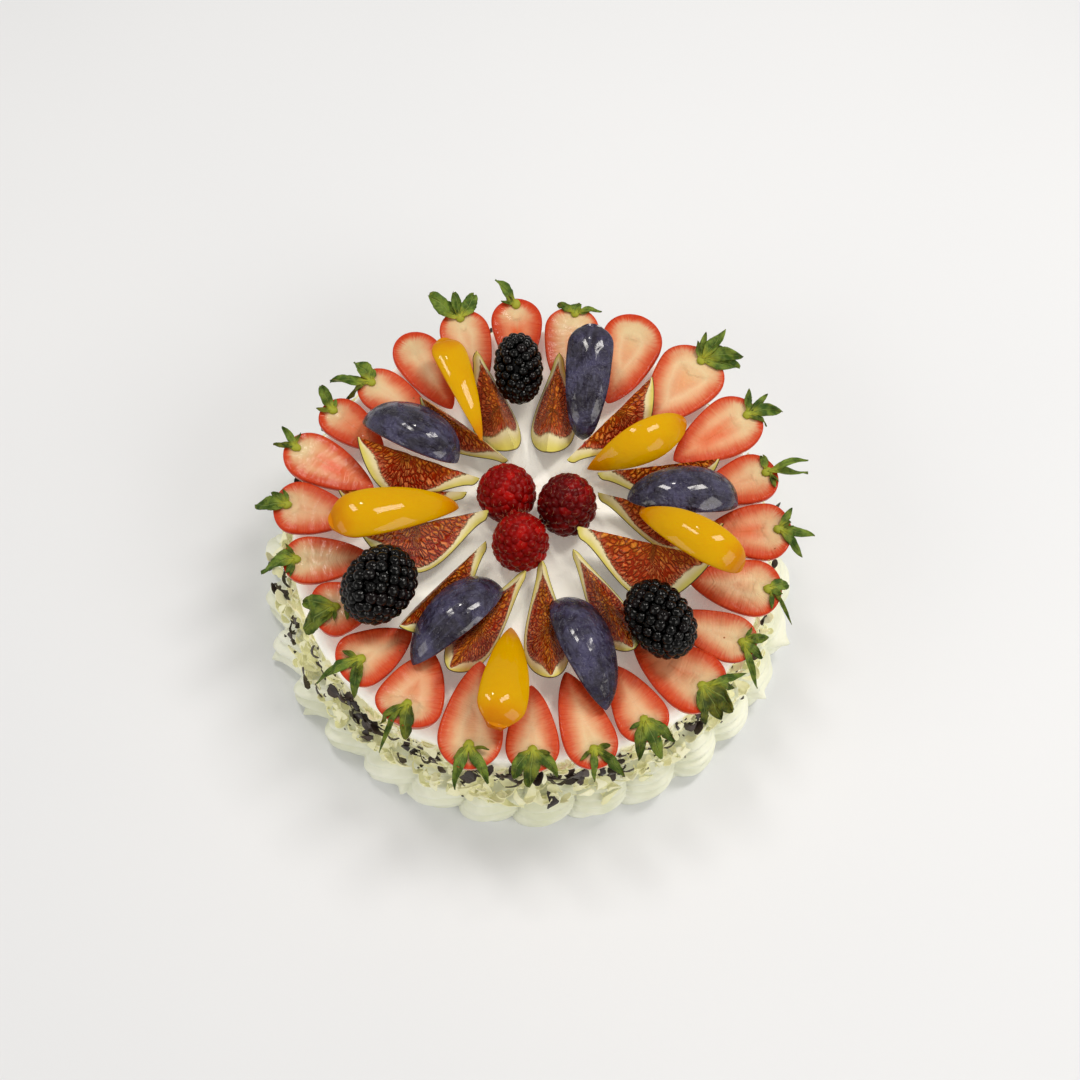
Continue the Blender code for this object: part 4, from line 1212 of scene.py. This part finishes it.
# The points of a shaving: a thin ragged strip, curled along its length and twisted
def curledChip(length, width, draw):
    rows, columns = chipForm["rows"], chipForm["columns"]
    curl, twist, bend = draw.uniform(*chipForm["curl"]), draw.uniform(-1.2, 1.2), draw.uniform(-0.25, 0.25)
    fullness = draw.uniform(1.6, 6)
    ragged = [[draw.uniform(0.75, 1.2) for _ in range(2)] for _ in range(rows)]
    points = []
    for radius in (length / curl, length / curl - chipForm["thickness"]):
        for i in range(rows):
            t = 2 * i / (rows - 1) - 1
            a = t * curl / 2
            half = width / 2 * (1 - 0.75 * abs(t) ** fullness)
            for side in range(-1, columns - 1):
                y = side * half * (ragged[i][0] if side < 0 else ragged[i][1]) + bend * length * t * t
                lift = side * half * math.sin(twist * t) - length / curl
                points.append((radius * math.sin(a), y, radius * math.cos(a) + lift))
    return points


# Chocolate shavings on the wall, in the angle above the border and on its shells
def makeShavings(name, material, count, seed, length, width, crowd, clusters):
    draw = random.Random(seed)
    points, faces, grain = [], [], []
    while len(grain) < count:
        clock = draw.uniform(0, 360)
        thick = 0.2 + 0.8 * (0.5 + 0.5 * math.cos(math.radians(clock - crowd)))
        bare = min(1, max(0, 0.5 + 0.9 * noise.noise(Vector((clock * 0.17, 21, 0)))))
        heap = (1 - clusters * bare) ** 2 if clusters > 0 else 1 + clusters * (1 - bare)
        if draw.random() > thick * heap:
            continue
        height = draw.uniform(25, 48) if draw.random() < 0.82 else draw.uniform(20, 28)
        if clusters == 1:
            height = draw.uniform(27, 45)
        out = 0.3 if height > 29 else draw.uniform(1, 9)
        out += 4.0 * max(0, clusters) * draw.random()
        chipLength = draw.uniform(*length) * mm
        chip = curledChip(chipLength, draw.uniform(*width) * mm, draw)
        spin = (
            Matrix.Translation(onTop(clock, cakeRadius + out * mm + 0.15 * chipLength, height * mm))
            @ Matrix.Rotation(math.radians(-clock), 4, "Z")
            @ Matrix.Rotation(math.radians(-90 + draw.uniform(-55, 35)), 4, "X")
            @ Matrix.Rotation(math.radians(draw.uniform(-180, 180)), 4, "Z")
            @ Matrix.Rotation(math.radians(draw.uniform(-30, 30)), 4, "Y")
        )
        base = len(points) * len(chip)
        faces += [tuple(i + base for i in f) for f in sheetFaces(chipForm["rows"], chipForm["columns"])]
        points.append(turned(chip, spin))
        grain.append(np.tile((0, 0, draw.random()), (len(chip), 1)))
    makePiece(
        name, None, "cream", np.concatenate(points), faces, [material], sharp=chipForm["sharp"],
        grain=np.concatenate(grain),
    )


makeCoat()
makeBorder()
for name, form in shavingForm.items():
    makeShavings(name, **form)
report("cream")
makeStrawberries()
report("strawberries")
makeFigs()
makeSlices("peach", peachRows, stoneHollow, 3, [peachCutInShade, peachOuter])
makeSlices("plum", plumRows, None, 1, [plumFlesh, plumSkin])
report("wedges")
makeBerries()
report("berries")


# floor, light, camera

# azimuth, elevation, distance, size and power of each light, and the grey room round them
studioForm = {
    "lights": {
        "glint": (350, 60, 1.3, (0.08, 0.06), 0.6), "rightWindow": (52, 60, 1.2, (0.24, 0.50), 5.6),
        "leftWindow": (-40, 64, 1.2, (0.16, 0.40), 3.2), "rightSoftbox": (122, 34, 1.4, (0.9, 0.7), 6.8),
        "leftSoftbox": (238, 30, 1.5, (0.9, 0.7), 5.0),
    },
    "lightColour": (1, 0.96, 0.90), "roomColour": (1, 0.975, 0.93, 1), "roomLight": 0.36, "roomSeen": 0.42,
    "aim": 50 * mm, "floor": 4,
}
# the photo's viewpoint: high above the horizon, rolled a little. Its lens is given in widths of the picture
cameraForm = {
    "elevation": 65, "roll": 4, "aim": (3.8 * mm, 5.3 * mm, 30 * mm), "distance": 560 * mm,
    "lens": 1282 / 1080,
    "sensor": 36,
}


def makeFloor():
    mesh = bpy.data.meshes.new("studioFloor")
    reach = studioForm["floor"]
    corners = [(-reach, -reach, 0), (reach, -reach, 0), (reach, reach, 0), (-reach, reach, 0)]
    mesh.from_pydata(corners, [], [(0, 1, 2, 3)])
    made, tree, shader = newMaterial("studioFloor", Roughness=0.8)
    feed(shader, Base_Color=mixed(speckle(placeOf(tree), 3.0), tone(222, 225, 230), tone(230, 232, 236)))
    mesh.materials.append(made)
    floor = bpy.data.objects.new("studioFloor", mesh)
    bpy.context.scene.collection.objects.link(floor)


# A soft rectangular light that looks at the cake. Azimuth is a clock angle
def addWindow(name, azimuth, elevation, distance, size, watts):
    data = bpy.data.lights.new(name, "AREA")
    data.shape = "RECTANGLE"
    data.size, data.size_y = size
    data.energy = watts
    data.color = studioForm["lightColour"]
    lamp = bpy.data.objects.new(name, data)
    a, e = math.radians(azimuth), math.radians(elevation)
    away = Vector((math.sin(a) * math.cos(e), math.cos(a) * math.cos(e), math.sin(e)))
    lamp.location = away * distance + Vector((0, 0, studioForm["aim"]))
    lamp.rotation_euler = away.to_track_quat("Z", "Y").to_euler()
    bpy.context.scene.collection.objects.link(lamp)


def makeLight():
    world = bpy.data.worlds.new("softStudio")
    world.use_nodes = True
    tree = world.node_tree
    background = tree.nodes["Background"]
    background.inputs["Color"].default_value = studioForm["roomColour"]
    seen = addNode(tree, "LightPath")[0]
    strength = seen * studioForm["roomSeen"] + studioForm["roomLight"]
    tree.links.new(strength.socket, background.inputs["Strength"])
    scene = bpy.context.scene
    scene.world = world
    for name, values in studioForm["lights"].items():
        addWindow(name, *values)
    scene.view_settings.view_transform = "Standard"
    scene.view_settings.look = "None"


def makeCamera():
    form = cameraForm
    elevation, roll = math.radians(form["elevation"]), math.radians(form["roll"])
    back = Vector((0, -math.cos(elevation), math.sin(elevation)))
    right, up = Vector((1, 0, 0)), Vector((0, math.sin(elevation), math.cos(elevation)))
    camX = right * math.cos(roll) + up * math.sin(roll)
    camY = -right * math.sin(roll) + up * math.cos(roll)
    data = bpy.data.cameras.new("photoCamera")
    data.sensor_width = form["sensor"]
    data.lens = form["lens"] * form["sensor"]
    camera = bpy.data.objects.new("photoCamera", data)
    place = Matrix((camX, camY, back)).transposed().to_4x4()
    place.translation = Vector(form["aim"]) + back * form["distance"]
    camera.matrix_world = place
    bpy.context.scene.collection.objects.link(camera)
    bpy.context.scene.camera = camera


makeFloor()
makeLight()
makeCamera()
report("studio")
